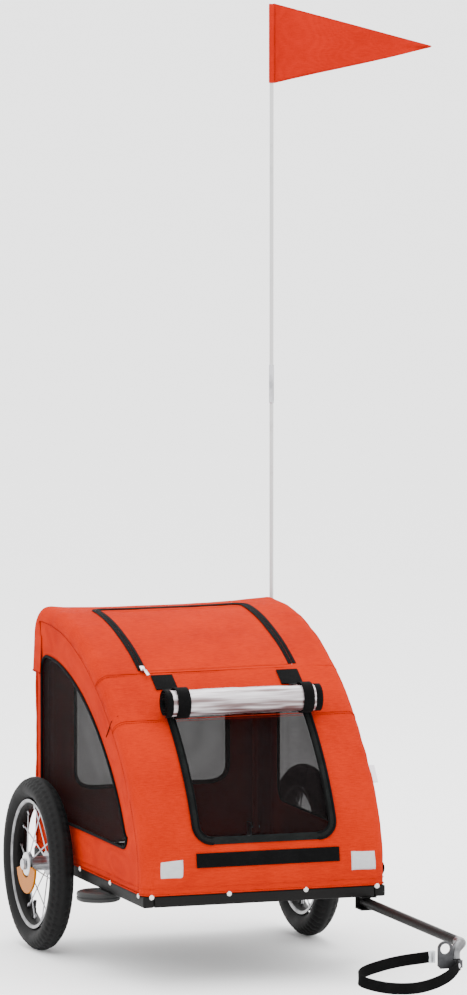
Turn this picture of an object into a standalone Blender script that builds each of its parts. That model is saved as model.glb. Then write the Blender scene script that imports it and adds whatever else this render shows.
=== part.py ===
"""A two-wheeled pet trailer for a bicycle: tube base frame, folding fabric cabin, tow arm and flag.

Metres, +Z up. The trailer's nose points along -Y and its left side is +X. The model is built round
the middle of the cabin at ground level, and the last step moves the origin to the middle of the
object's box, at the ground.
"""
import math

import bmesh
import bpy
from mathutils import Matrix, Vector

GAP = 0.0003
FABRIC = 0.0018

# Base frame
FRAME_LENGTH = 0.626
FRAME_WIDTH = 0.448
RAIL = 0.020
RAIL_BOTTOM = 0.147
RAIL_TOP = RAIL_BOTTOM + RAIL
HALF_LENGTH = FRAME_LENGTH / 2
HALF_WIDTH = FRAME_WIDTH / 2
FLOOR_THICKNESS = 0.003

# Cabin outline in the side view: (y, z) control points of the nose curve
ROOF_HEIGHT = 0.606
NOSE_START = Vector((-HALF_LENGTH, 0.200))
NOSE_RISE = 0.160
NOSE_RUN = 0.280
ROOF_REAR_START = 0.226
REAR_CORNER = 0.050
REAR_PANEL_TOP = 0.525
SHEET_HALF_WIDTH = HALF_WIDTH - FABRIC - 0.0008

# Windows and hatch
SIDE_WINDOW_MARGIN = 0.085
SIDE_WINDOW_BOTTOM = 0.239
SIDE_WINDOW_REAR = 0.262
WINDOW_CORNER = 0.030
FRONT_WINDOW_HALF = 0.122
FRONT_WINDOW_BOTTOM = 0.257
FRONT_WINDOW_TOP = 0.478
REAR_WINDOW_HALF = 0.142
REAR_WINDOW_BOTTOM = 0.272
REAR_WINDOW_TOP = 0.485
HATCH_FRONT = -0.056
HATCH_REAR = 0.225
HATCH_HALF = 0.140
SLIDER_X = -0.1466
SLIDER_BOTTOM = 0.523

# Folding bows
BOW_RADIUS = 0.007
BOW_PIVOT_HEIGHT = 0.185
BOW_FOOT = 0.010
FRONT_BOW_X = 0.212
FRONT_BOW_PIVOT_Y = -0.285
FRONT_BOW_TOP_Y = 0.200
REAR_BOW_X = 0.193
REAR_BOW_Y = 0.300
REAR_BOW_TOP = 0.512
BOW_PIN_RADIUS = 0.003
BOW_BEND = 0.030

# Wheels
WHEEL_RADIUS = 0.155
WHEEL_Y = 0.195
WHEEL_X = 0.253
TYRE_HALF_WIDTH = 0.022
TYRE_HALF_HEIGHT = 0.019
RIM_OUTER = 0.1165
RIM_INNER = 0.1045
RIM_HALF_WIDTH = 0.015
HUB_RADIUS = 0.013
FLANGE_RADIUS = 0.022
FLANGE_OFFSET = 0.017
HUB_HALF_LENGTH = 0.0215
AXLE_RADIUS = 0.006
SPOKES = 16
SPOKE_RADIUS = 0.0012

# Deflector discs under the side rails
DISC_RADIUS = 0.039
DISC_HEIGHT = 0.017
DISC_X = 0.233
DISC_Y = -0.089

# Tow arm, hitch and strap
ARM_X = 0.195
ARM_PIVOT_Y = -0.293
ARM_HEIGHT = 0.1345
ARM_RADIUS = 0.009
ARM_PIN_RADIUS = 0.003
CLEVIS_PLATE = 0.0025
HITCH_X = 0.177
HITCH_Y = -0.800
CONNECTOR_RADIUS = 0.0105
CONNECTOR_BOTTOM = 0.092
CONNECTOR_TOP = 0.1135
PLATE_X = 0.1545
PLATE_HALF_WIDTH = 0.0135
PLATE_THICKNESS = 0.004
PLATE_BOTTOM = 0.0985
PLATE_TOP = 0.1465
EYE_RADIUS = 0.0090
EYE_HEIGHT = 0.1330
STRAP_WIDTH = 0.020
STRAP_THICKNESS = 0.002
STRAP_ROUTE = (
    (0.177, -0.8178, 0.1095),
    (0.171, -0.8240, 0.100),
    (0.153, -0.8320, 0.088),
    (0.125, -0.8380, 0.078),
    (0.090, -0.8390, 0.072),
    (0.050, -0.8340, 0.073),
    (0.018, -0.8220, 0.079),
    (0.002, -0.8050, 0.086),
    (0.011, -0.7890, 0.094),
    (0.040, -0.7780, 0.101),
    (0.084, -0.7710, 0.108),
    (0.140, -0.7700, 0.113),
)

# Flag
MAST_X = 0.2325
MAST_Y = 0.327
MAST_RADIUS = 0.004
MAST_BOTTOM = 0.262
FLAG_TOP = 1.671
FLAG_BOTTOM = 1.529
FLAG_TIP_X = 0.542
FLAG_TIP_HEIGHT = 1.586
FLAG_THICKNESS = 0.0012
SOCKET_BOTTOM = 0.250
SOCKET_TOP = 0.400
SOCKET_RADIUS = 0.0075

# Rolled rain cover
ROLL_RADIUS = 0.0255
ROLL_HALF_LENGTH = 0.1445
ROLL_BORE = 0.010
ROLL_HEIGHT = 0.463
STRAP_BAND_WIDTH = 0.020
STRAP_BAND_X = 0.116
TAB_X = 0.117
TAB_WIDTH = 0.040
TAB_BOTTOM = 0.4995
TAB_TOP = 0.5195

# Trim on the front panel, which is sewn a little towards the left
TRIM_X = 0.0065
REFLECTOR_X = 0.177
REFLECTOR_HALF_WIDTH = 0.0215
REFLECTOR_BOTTOM = 0.1935
REFLECTOR_TOP = 0.2300
HOOK_BAND_HALF = 0.132
HOOK_BAND_BOTTOM = 0.2135
HOOK_BAND_TOP = 0.2385

COLOURS = {
    "orange": ((0.86, 0.13, 0.03), 0.85, 0.0),
    "black_steel": ((0.012, 0.012, 0.013), 0.40, 0.6),
    "zinc": ((0.62, 0.62, 0.64), 0.30, 1.0),
    "rubber": ((0.018, 0.018, 0.018), 0.80, 0.0),
    "mesh_black": ((0.03, 0.02, 0.02), 0.75, 0.0),
    "webbing": ((0.010, 0.010, 0.010), 0.85, 0.0),
    "clear_film": ((0.75, 0.75, 0.77), 0.10, 0.0),
    "reflector": ((0.80, 0.80, 0.82), 0.20, 0.0),
    "amber": ((0.90, 0.48, 0.04), 0.20, 0.0),
    "white_rod": ((0.85, 0.85, 0.85), 0.35, 0.0),
    "clear_plastic": ((0.88, 0.88, 0.90), 0.15, 0.0),
    "dark_plastic": ((0.05, 0.05, 0.052), 0.50, 0.0),
}


def clear_scene():
    """Removes everything that the file started with."""
    for found in list(bpy.data.objects):
        bpy.data.objects.remove(found, do_unlink=True)


def finish_of(name):
    """The named material, made on its first use."""
    found = bpy.data.materials.get(name)
    if found:
        return found
    colour, roughness, metallic = COLOURS[name]
    made = bpy.data.materials.new(name)
    made.use_nodes = True
    shader = made.node_tree.nodes["Principled BSDF"]
    shader.inputs["Base Color"].default_value = (*colour, 1.0)
    shader.inputs["Roughness"].default_value = roughness
    shader.inputs["Metallic"].default_value = metallic
    return made


def place(name, mesh, finish):
    """A mesh as a named object in the scene."""
    made = bpy.data.objects.new(name, mesh)
    made.data.materials.append(finish_of(finish))
    bpy.context.scene.collection.objects.link(made)
    return made


def from_bmesh(name, work, finish, smooth=False):
    """A bmesh, its faces turned outwards, as a named object."""
    bmesh.ops.recalc_face_normals(work, faces=work.faces)
    mesh = bpy.data.meshes.new(name)
    work.to_mesh(mesh)
    work.free()
    if smooth:
        mesh.shade_smooth()
        mesh.set_sharp_from_angle(angle=math.radians(40))
    return place(name, mesh, finish)


def block(name, low, high, finish):
    """A box between two corners."""
    work = bmesh.new()
    bmesh.ops.create_cube(work, size=1.0)
    low, high = Vector(low), Vector(high)
    size = Matrix.Diagonal((*(high - low), 1.0))
    bmesh.ops.transform(work, matrix=Matrix.Translation((low + high) / 2) @ size, verts=work.verts)
    return from_bmesh(name, work, finish)


def turned(name, section, centre, axis, steps, finish):
    """A closed (radius, along) section turned a full circle about an axis through the centre."""
    work = bmesh.new()
    turn = Vector((0, 0, 1)).rotation_difference(Vector(axis)).to_matrix().to_4x4()
    to_place = Matrix.Translation(centre) @ turn
    corners = [work.verts.new((radius, 0, along)) for radius, along in section]
    edges = [work.edges.new((a, b)) for a, b in zip(corners, corners[1:] + corners[:1])]
    bmesh.ops.spin(
        work, geom=corners + edges, cent=(0, 0, 0), axis=(0, 0, 1),
        angle=2 * math.pi, steps=steps, use_merge=True,
    )
    bmesh.ops.remove_doubles(work, verts=work.verts, dist=1e-6)
    bmesh.ops.transform(work, matrix=to_place, verts=work.verts)
    return from_bmesh(name, work, finish, smooth=True)


def rod(name, start, end, radius, finish, sides=16):
    """A plain round bar between two points."""
    start, end = Vector(start), Vector(end)
    work = bmesh.new()
    bmesh.ops.create_cone(
        work, cap_ends=True, segments=sides, radius1=radius, radius2=radius,
        depth=(end - start).length,
    )
    turn = Vector((0, 0, 1)).rotation_difference(end - start).to_matrix().to_4x4()
    bmesh.ops.transform(work, matrix=Matrix.Translation((start + end) / 2) @ turn, verts=work.verts)
    return from_bmesh(name, work, finish, smooth=True)


def tube(name, points, radius, finish, sides=8):
    """A round bar bent along a line of points."""
    line = bpy.data.curves.new(name, "CURVE")
    line.dimensions = "3D"
    line.bevel_depth = radius
    line.bevel_resolution = sides // 4
    line.use_fill_caps = True
    spline = line.splines.new("POLY")
    spline.points.add(len(points) - 1)
    for target, point in zip(spline.points, points):
        target.co = (*point, 1.0)
    guide = bpy.data.objects.new(name + "_line", line)
    work = bmesh.new()
    work.from_mesh(guide.to_mesh())
    guide.to_mesh_clear()
    bpy.data.objects.remove(guide)
    bmesh.ops.remove_doubles(work, verts=work.verts, dist=1e-6)
    return from_bmesh(name, work, finish, smooth=True)


def plate(name, loops, low, high, finish):
    """Closed (y, z) loops, the first the outline and the others holes, made solid from x low to high."""
    line = bpy.data.curves.new(name, "CURVE")
    line.dimensions = "2D"
    line.fill_mode = "BOTH"
    line.extrude = (high - low) / 2
    for loop in loops:
        spline = line.splines.new("POLY")
        spline.points.add(len(loop) - 1)
        for target, point in zip(spline.points, loop):
            target.co = (point[0], point[1], 0.0, 1.0)
        spline.use_cyclic_u = True
    made = place(name, line, finish)
    upright = Matrix(((0, 0, 1), (1, 0, 0), (0, 1, 0))).to_4x4()
    made.matrix_world = Matrix.Translation(((low + high) / 2, 0, 0)) @ upright
    return made


def arc(centre, radius, first, last, steps=5):
    """Points along an arc, its angles in degrees."""
    found = []
    for step in range(steps + 1):
        angle = math.radians(first + (last - first) * step / steps)
        found.append(Vector((centre[0] + radius * math.cos(angle), centre[1] + radius * math.sin(angle))))
    return found


def as_tool(shape):
    """Marks a shape as a cutter or a piece to add, which is not a part of its own."""
    shape.hide_render = True
    shape.display_type = "WIRE"
    return shape


def combine(base, tool, operation):
    """Adds a tool to a shape (UNION), or cuts it out (DIFFERENCE)."""
    step = base.modifiers.new(operation.lower(), "BOOLEAN")
    step.operation = operation
    step.solver = "EXACT"
    step.object = as_tool(tool)


def nose_point(t):
    """A point (y, z) on the outside of the cabin's nose.

    On the curve, t goes from 0 at the bottom to 1 at the roof. A t under 0 is metres straight down from there.
    """
    if t < 0:
        return NOSE_START + Vector((0, t))
    a = NOSE_START
    b = NOSE_START + Vector((0, NOSE_RISE))
    d = Vector((ROOF_REAR_START, ROOF_HEIGHT))
    c = d - Vector((NOSE_RUN, 0))
    s = 1 - t
    return a * s**3 + b * (3 * s * s * t) + c * (3 * s * t * t) + d * t**3


def nose_outward(t):
    """The unit (y, z) direction straight out of the nose curve."""
    step = 1e-4
    along = (nose_point(min(1, t + step)) - nose_point(t - step)).normalized()
    return Vector((-along.y, along.x))


def nose_at(value, axis):
    """The t at which the nose curve reaches a y (axis 0) or a z (axis 1)."""
    low, high = RAIL_TOP - NOSE_START.y, 1.0
    for _ in range(40):
        middle = (low + high) / 2
        if nose_point(middle)[axis] < value:
            low = middle
        else:
            high = middle
    return (low + high) / 2


def nose_run(first, last, steps, offset=0.0):
    """Points along the nose curve, moved outwards by offset."""
    found = []
    for step in range(steps + 1):
        t = first + (last - first) * step / steps
        found.append(nose_point(t) + nose_outward(t) * offset)
    return found


def curved_sheet(name, path, columns, finish, hole_rows=None, thickness=FABRIC):
    """A sheet that follows a (y, z) path and spans the x columns, with an optional hole in its middle columns."""
    work = bmesh.new()
    grid = [[work.verts.new((x, point[0], point[1])) for x in columns] for point in path]
    middle = (len(columns) - 1) // 2
    for row in range(len(path) - 1):
        for column in range(len(columns) - 1):
            if hole_rows and hole_rows[0] <= row < hole_rows[1] and column == middle:
                continue
            low, high = grid[row], grid[row + 1]
            work.faces.new((low[column], low[column + 1], high[column + 1], high[column]))
    mesh = bpy.data.meshes.new(name)
    work.to_mesh(mesh)
    work.free()
    made = place(name, mesh, finish)
    wall = made.modifiers.new("wall", "SOLIDIFY")
    wall.thickness = thickness
    wall.offset = -1.0
    wall.use_even_offset = True
    return made


def patch(name, x_low, x_high, first, last, lift, thickness, finish, steps=3):
    """A flat trim piece that lies on the nose curve, from t first to t last."""
    path = nose_run(first, last, steps, offset=lift + thickness)
    return curved_sheet(name, path, (x_low, x_high), finish, thickness=thickness)


def build_base():
    """Rails, floor and the cross tube that carries the stub axles."""
    inner = HALF_WIDTH - RAIL
    for side, name in ((1, "left"), (-1, "right")):
        low, high = sorted((side * inner, side * HALF_WIDTH))
        block(
            f"side_rail_{name}", (low, -HALF_LENGTH, RAIL_BOTTOM), (high, HALF_LENGTH, RAIL_TOP), "black_steel"
        )
    for side, name in ((-1, "front"), (1, "rear")):
        low, high = sorted((side * (HALF_LENGTH - RAIL), side * HALF_LENGTH))
        block(
            f"{name}_rail", (GAP - inner, low, RAIL_BOTTOM), (inner - GAP, high, RAIL_TOP), "black_steel"
        )
    half = RAIL / 2 - 0.002
    middle = RAIL_BOTTOM + RAIL / 2
    block(
        "axle_tube", (GAP - inner, WHEEL_Y - half, middle - half),
        (inner - GAP, WHEEL_Y + half, middle + half), "black_steel",
    )
    floor_low = RAIL_TOP + GAP
    block(
        "floor_panel", (-0.2195, -0.262, floor_low), (0.2195, 0.262, floor_low + FLOOR_THICKNESS), "mesh_black"
    )


def side_outline():
    """The cabin's whole side outline, from the front hem over the roof to the rear hem."""
    corner = (HALF_LENGTH - REAR_CORNER, ROOF_HEIGHT - REAR_CORNER)
    hem = RAIL_TOP + GAP
    points = [Vector((HALF_LENGTH, hem)), Vector((-HALF_LENGTH, hem))]
    points += nose_run(0, 1, 16)
    points += arc(corner, REAR_CORNER, 90, 0)
    return points


def side_window_outline(inset=0.0):
    """The side window: its front edge keeps an even margin from the nose curve."""
    margin = SIDE_WINDOW_MARGIN + inset
    bottom = SIDE_WINDOW_BOTTOM + inset
    rear = SIDE_WINDOW_REAR - inset
    front_corner = 0.022
    top = ROOF_HEIGHT - margin
    curve = nose_run(0.20, 1.0, 12, offset=-margin)
    points = arc((rear - WINDOW_CORNER, bottom + WINDOW_CORNER), WINDOW_CORNER, 0, -90)
    points += arc((curve[0][0] + front_corner, bottom + front_corner), front_corner, -90, -180)
    points += curve[:-1]
    points += arc((rear - WINDOW_CORNER, top - WINDOW_CORNER), WINDOW_CORNER, 90, 0)
    return points


def build_sides():
    """The flat side panels with their mesh windows."""
    for side, name in ((1, "left"), (-1, "right")):
        low, high = sorted((side * (HALF_WIDTH - FABRIC), side * HALF_WIDTH))
        plate(f"side_panel_{name}", (side_outline(), side_window_outline()), low, high, "orange")
        plate(f"side_window_{name}", (side_window_outline(2 * GAP),), low + GAP, high - GAP, "mesh_black")


def build_front():
    """The front panel, which follows the nose curve, and its mesh window."""
    window_low = nose_at(FRONT_WINDOW_BOTTOM, 1)
    window_high = nose_at(FRONT_WINDOW_TOP, 1)
    hem = Vector((-HALF_LENGTH, RAIL_TOP + GAP))
    lower = nose_run(0, window_low, 3)
    middle = nose_run(window_low, window_high, 7)
    upper = nose_run(window_high, nose_at(HATCH_FRONT, 0), 3)
    path = [hem] + lower + middle[1:] + upper[1:]
    left, right = TRIM_X + FRONT_WINDOW_HALF, TRIM_X - FRONT_WINDOW_HALF
    columns = (-SHEET_HALF_WIDTH, right, left, SHEET_HALF_WIDTH)
    curved_sheet("front_panel", path, columns, "orange", hole_rows=(4, 11))
    step = 0.0015
    pane = nose_run(window_low + step, window_high - step, 7, offset=-GAP)
    curved_sheet("front_window", pane, (right + GAP, left - GAP), "mesh_black", thickness=FABRIC - 2 * GAP)


def build_roof():
    """The roof panel round the hatch, and the hatch flap hinged on its front seam."""
    slit = 0.0006
    rear_t = nose_at(HATCH_REAR, 0)
    front_t = nose_at(HATCH_FRONT, 0)
    corner = (HALF_LENGTH - REAR_CORNER, ROOF_HEIGHT - REAR_CORNER)
    hatch = nose_run(front_t, rear_t, 8)
    hatch[0] = nose_point(front_t + slit)
    path = hatch + arc(corner, REAR_CORNER, 90, 0) + [Vector((HALF_LENGTH, REAR_PANEL_TOP + slit))]
    columns = (-SHEET_HALF_WIDTH, -HATCH_HALF, HATCH_HALF, SHEET_HALF_WIDTH)
    curved_sheet("roof_panel", path, columns, "orange", hole_rows=(0, 8))
    inner = HATCH_HALF - slit
    flap = nose_run(front_t + slit, rear_t - 2 * slit, 8)
    curved_sheet("roof_flap", flap, (-inner, inner), "orange")


def build_rear():
    """The flat rear panel and its mesh window."""
    half = SHEET_HALF_WIDTH
    window = REAR_WINDOW_HALF
    hem = RAIL_TOP + GAP
    levels = (hem, REAR_WINDOW_BOTTOM, REAR_WINDOW_TOP, REAR_PANEL_TOP)
    columns = (half, window, -window, -half)
    path = [Vector((HALF_LENGTH, level)) for level in levels]
    curved_sheet("rear_panel", path, columns, "orange", hole_rows=(1, 2))
    block(
        "rear_window",
        (GAP - window, HALF_LENGTH - FABRIC + GAP, REAR_WINDOW_BOTTOM + GAP),
        (window - GAP, HALF_LENGTH - GAP, REAR_WINDOW_TOP - GAP),
        "mesh_black",
    )


def bow_path(side_points, half_width):
    """Mirrors one side's (y, z) run across x and joins the halves with two round bends."""
    y, z = side_points[-1]
    side = [Vector((-half_width, point[0], point[1])) for point in side_points]
    back = (side[-1] - side[-2]).normalized()
    start = side[-1] - back * BOW_BEND
    kept = [point for point in side if (point - side[-1]).length > BOW_BEND]
    corner = Vector((-half_width, y, z))
    end = corner + Vector((BOW_BEND, 0, 0))
    bend = []
    for step in range(6):
        t = step / 5
        bend.append(start * (1 - t) ** 2 + corner * (2 * t * (1 - t)) + end * t * t)
    half = kept + bend
    mirrored = [Vector((-point.x, point.y, point.z)) for point in reversed(half)]
    return half + mirrored


def pierce(name, bow, x, y):
    """Bores a bow's two feet for their hinge pins."""
    for side in (-1, 1):
        start = (side * (x - 0.012), y, BOW_PIVOT_HEIGHT)
        end = (side * (x + 0.012), y, BOW_PIVOT_HEIGHT)
        drill = rod(f"{name}_drill_{side}", start, end, BOW_PIN_RADIUS + GAP, "zinc", sides=12)
        combine(bow, drill, "DIFFERENCE")


def bow_bracket(name, side, x, y):
    """A hinge bracket on the base rail: an upright ear with a pin that runs through the bow's foot."""
    inner = x - BOW_RADIUS - 0.0035
    low, high = sorted((side * (inner - 0.003), side * inner))
    ear = block(name, (low, y - 0.009, RAIL_TOP + GAP), (high, y + 0.009, BOW_PIVOT_HEIGHT + 0.009), "zinc")
    start = (side * (inner - 0.0015), y, BOW_PIVOT_HEIGHT)
    end = (side * (x + BOW_RADIUS), y, BOW_PIVOT_HEIGHT)
    combine(ear, rod(f"{name}_pin", start, end, BOW_PIN_RADIUS, "zinc", sides=12), "UNION")


def build_bows():
    """The two folding bows and the brackets they turn on."""
    inset = FABRIC + BOW_RADIUS + 0.0015
    first = nose_at(0.235, 1)
    last = nose_at(FRONT_BOW_TOP_Y, 0)
    foot = Vector((FRONT_BOW_PIVOT_Y, BOW_PIVOT_HEIGHT - BOW_FOOT))
    knee = Vector((FRONT_BOW_PIVOT_Y, BOW_PIVOT_HEIGHT + BOW_FOOT))
    front_side = [foot, knee] + nose_run(first, last, 12, offset=-inset)
    front = tube("front_bow", bow_path(front_side, FRONT_BOW_X), BOW_RADIUS, "black_steel")
    pierce("front_bow", front, FRONT_BOW_X, FRONT_BOW_PIVOT_Y)
    rear_side = [
        Vector((REAR_BOW_Y, BOW_PIVOT_HEIGHT - BOW_FOOT)),
        Vector((REAR_BOW_Y, REAR_BOW_TOP)),
    ]
    rear = tube("rear_bow", bow_path(rear_side, REAR_BOW_X), BOW_RADIUS, "black_steel")
    pierce("rear_bow", rear, REAR_BOW_X, REAR_BOW_Y)
    for side, name in ((1, "left"), (-1, "right")):
        bow_bracket(f"front_bow_bracket_{name}", side, FRONT_BOW_X, FRONT_BOW_PIVOT_Y)
        bow_bracket(f"rear_bow_bracket_{name}", side, REAR_BOW_X, REAR_BOW_Y)


def tyre_section():
    """The tyre's section: an ellipse that sits on the rim."""
    middle = WHEEL_RADIUS - TYRE_HALF_HEIGHT
    found = []
    for step in range(12):
        angle = 2 * math.pi * step / 12
        found.append((middle + TYRE_HALF_HEIGHT * math.cos(angle), TYRE_HALF_WIDTH * math.sin(angle)))
    return found


def hub_section():
    """The hub's section: a bored barrel with two spoke flanges."""
    bore = AXLE_RADIUS + GAP
    wall = 0.0015
    inner = FLANGE_OFFSET - wall
    outer = FLANGE_OFFSET + wall
    end = HUB_HALF_LENGTH
    return [
        (bore, -end), (HUB_RADIUS, -end), (HUB_RADIUS, -outer), (FLANGE_RADIUS, -outer),
        (FLANGE_RADIUS, -inner), (HUB_RADIUS, -inner), (HUB_RADIUS, inner), (FLANGE_RADIUS, inner),
        (FLANGE_RADIUS, outer), (HUB_RADIUS, outer), (HUB_RADIUS, end), (bore, end),
    ]


def add_spokes(hub, name, side, centre):
    """Straight spokes from alternate flanges to the rim, added to the hub."""
    for number in range(SPOKES):
        angle = 2 * math.pi * (number + 0.5) / SPOKES
        out = Vector((0, math.sin(angle), math.cos(angle)))
        flange = FLANGE_OFFSET * (1 if number % 2 else -1) * side
        start = centre + Vector((flange, 0, 0)) + out * (FLANGE_RADIUS - 0.004)
        end = centre + out * (RIM_INNER - 0.001)
        spoke = rod(f"{name}_spoke_{number}", start, end, SPOKE_RADIUS, "zinc", sides=6)
        combine(hub, spoke, "UNION")


def spoke_reflector(name, side, centre):
    """A half-moon reflector that is clipped to the spokes below the hub, on the outer side."""
    low_radius, high_radius = 0.025, 0.053
    outer = arc((centre.y, centre.z), high_radius, -175, -15, 12)
    inner = arc((centre.y, centre.z), low_radius, -15, -175, 8)
    near = abs(centre.x) + 0.0200
    low, high = sorted((side * near, side * (near + 0.004)))
    plate(name, (outer + inner,), low, high, "amber")


def build_wheel(side, name):
    """One spoked wheel with its tyre, turning on a fixed stub axle that a nut closes."""
    centre = Vector((side * WHEEL_X, WHEEL_Y, WHEEL_RADIUS))
    outwards = Vector((side, 0, 0))
    turned(f"tyre_{name}", tyre_section(), centre, outwards, 40, "rubber")
    rim = RIM_HALF_WIDTH
    well = RIM_OUTER - 0.004
    section = [
        (RIM_INNER, -0.006), (RIM_INNER + 0.004, -rim), (RIM_OUTER - GAP, -rim), (well, 0),
        (RIM_OUTER - GAP, rim), (RIM_INNER + 0.004, rim), (RIM_INNER, 0.006),
    ]
    turned(f"rim_{name}", section, centre, outwards, 40, "zinc")
    hub = turned(f"hub_{name}", hub_section(), centre, outwards, 24, "zinc")
    add_spokes(hub, name, side, centre)
    spoke_reflector(f"spoke_reflector_{name}", side, centre)
    near = HALF_WIDTH + GAP
    far = WHEEL_X + HUB_HALF_LENGTH + 0.003
    level = (WHEEL_Y, WHEEL_RADIUS)
    rod(f"stub_axle_{name}", (side * near, *level), (side * far, *level), AXLE_RADIUS, "zinc")
    start = side * (far + GAP)
    rod(f"axle_nut_{name}", (start, *level), (start + side * 0.008, *level), 0.0105, "zinc", sides=6)


def build_discs():
    """A round deflector disc under each side rail, ahead of the wheel."""
    top = RAIL_BOTTOM - GAP * 2
    for side, name in ((1, "left"), (-1, "right")):
        low = (side * DISC_X, DISC_Y, top - DISC_HEIGHT)
        high = (side * DISC_X, DISC_Y, top)
        rod(f"deflector_disc_{name}", low, high, DISC_RADIUS, "dark_plastic", sides=32)


def build_clevis():
    """The tow arm's clevis under the front left corner: two plates, a rear wall and the pivot pin."""
    half = 0.014
    opening = ARM_RADIUS + 0.0008
    rear = ARM_PIVOT_Y + 0.018
    front = -HALF_LENGTH + 0.004
    low, high = ARM_HEIGHT - opening, ARM_HEIGHT + opening
    loop = (
        (front, high), (rear - CLEVIS_PLATE, high), (rear - CLEVIS_PLATE, low), (front, low),
        (front, low - CLEVIS_PLATE), (rear, low - CLEVIS_PLATE), (rear, high + CLEVIS_PLATE - GAP),
        (front, high + CLEVIS_PLATE - GAP),
    )
    work = bmesh.new()
    face = work.faces.new([work.verts.new((ARM_X - half, y, z)) for y, z in loop])
    pushed = bmesh.ops.extrude_face_region(work, geom=[face])
    moved = [item for item in pushed["geom"] if isinstance(item, bmesh.types.BMVert)]
    bmesh.ops.translate(work, vec=(2 * half, 0, 0), verts=moved)
    clevis = from_bmesh("arm_clevis", work, "black_steel")
    start = (ARM_X, ARM_PIVOT_Y, low - CLEVIS_PLATE / 2)
    end = (ARM_X, ARM_PIVOT_Y, high + CLEVIS_PLATE / 2)
    combine(clevis, rod("arm_pin", start, end, ARM_PIN_RADIUS, "zinc", sides=12), "UNION")


def build_arm():
    """The tow arm: a straight tube with a round elbow that turns down to the hitch."""
    level_end = -HALF_LENGTH
    front_height = ARM_HEIGHT + 0.002
    straight = [
        Vector((ARM_X, ARM_PIVOT_Y + 0.0115, ARM_HEIGHT)),
        Vector((ARM_X, level_end, ARM_HEIGHT)),
        Vector((ARM_X, -0.765, front_height)),
    ]
    start = Vector((ARM_X, -0.765, front_height))
    over = Vector((ARM_X, -0.806, front_height + 0.003))
    drop = Vector((HITCH_X, HITCH_Y - 0.001, front_height))
    end = Vector((HITCH_X, HITCH_Y, 0.122))
    elbow = []
    for step in range(1, 9):
        t = step / 8
        s = 1 - t
        elbow.append(start * s**3 + over * (3 * s * s * t) + drop * (3 * s * t * t) + end * t**3)
    tip = Vector((HITCH_X, HITCH_Y, CONNECTOR_TOP + GAP))
    arm = tube("tow_arm", straight + elbow + [tip], ARM_RADIUS, "black_steel", sides=12)
    low = (ARM_X, ARM_PIVOT_Y, ARM_HEIGHT - 0.015)
    high = (ARM_X, ARM_PIVOT_Y, ARM_HEIGHT + 0.015)
    combine(arm, rod("arm_drill", low, high, ARM_PIN_RADIUS + GAP, "zinc", sides=12), "DIFFERENCE")
    rod(
        "hitch_connector", (HITCH_X, HITCH_Y, CONNECTOR_BOTTOM), (HITCH_X, HITCH_Y, CONNECTOR_TOP),
        CONNECTOR_RADIUS, "rubber",
    )


def build_hitch_plate():
    """The flat hitch plate: an upright tongue with the axle eye, and a lug in front of the connector."""
    round_top = arc((PLATE_X, PLATE_TOP - PLATE_HALF_WIDTH), PLATE_HALF_WIDTH, 0, 180, 10)
    lug_end = HITCH_X + 0.009
    lug_top = PLATE_BOTTOM + 0.0135
    outline = round_top + [
        Vector((PLATE_X - PLATE_HALF_WIDTH, PLATE_BOTTOM + 0.005)),
        Vector((PLATE_X - PLATE_HALF_WIDTH + 0.005, PLATE_BOTTOM)),
        Vector((lug_end, PLATE_BOTTOM)),
        Vector((lug_end, lug_top)),
        Vector((PLATE_X + PLATE_HALF_WIDTH, lug_top)),
    ]
    eye = arc((PLATE_X, EYE_HEIGHT), EYE_RADIUS, 0, 360 - 360 / 16, 15)
    line = bpy.data.curves.new("hitch_plate", "CURVE")
    line.dimensions = "2D"
    line.fill_mode = "BOTH"
    line.extrude = PLATE_THICKNESS / 2
    for loop in (outline, eye):
        spline = line.splines.new("POLY")
        spline.points.add(len(loop) - 1)
        for target, point in zip(spline.points, loop):
            target.co = (point[0], point[1], 0.0, 1.0)
        spline.use_cyclic_u = True
    made = place("hitch_plate", line, "zinc")
    y = HITCH_Y - CONNECTOR_RADIUS - GAP - PLATE_THICKNESS / 2
    made.matrix_world = Matrix.Translation((0, y, 0)) @ Matrix.Rotation(math.pi / 2, 4, "X")


def smooth_route(points, steps):
    """Catmull-Rom points through a route."""
    points = [Vector(point) for point in points]
    padded = [2 * points[0] - points[1]] + points + [2 * points[-1] - points[-2]]
    found = []
    for a, b, c, d in zip(padded, padded[1:], padded[2:], padded[3:]):
        for step in range(steps):
            t = step / steps
            found.append(
                0.5 * (2 * b + (c - a) * t + (2 * a - 5 * b + 4 * c - d) * t * t
                       + (3 * b - a - 3 * c + d) * t**3)
            )
    found.append(points[-1])
    return found


def build_strap():
    """The safety strap: webbing on edge that loops back to its buckle."""
    route = smooth_route(STRAP_ROUTE, 4)
    half = Vector((0, 0, STRAP_WIDTH / 2))
    rings = []
    work = bmesh.new()
    for number, point in enumerate(route):
        before = route[max(0, number - 1)]
        after = route[min(len(route) - 1, number + 1)]
        along = Vector((after.x - before.x, after.y - before.y, 0)).normalized()
        across = Vector((-along.y, along.x, 0)) * STRAP_THICKNESS / 2
        corners = (point - across - half, point + across - half, point + across + half, point - across + half)
        rings.append([work.verts.new(corner) for corner in corners])
    for first, second in zip(rings, rings[1:]):
        for corner in range(4):
            after = (corner + 1) % 4
            work.faces.new((first[corner], first[after], second[after], second[corner]))
    work.faces.new(rings[0])
    work.faces.new(rings[-1])
    from_bmesh("safety_strap", work, "webbing")
    end = route[-1]
    block(
        "strap_buckle", (end.x + GAP, end.y - 0.003, end.z - 0.011),
        (end.x + 0.012, end.y + 0.003, end.z + 0.011), "clear_plastic",
    )


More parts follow.
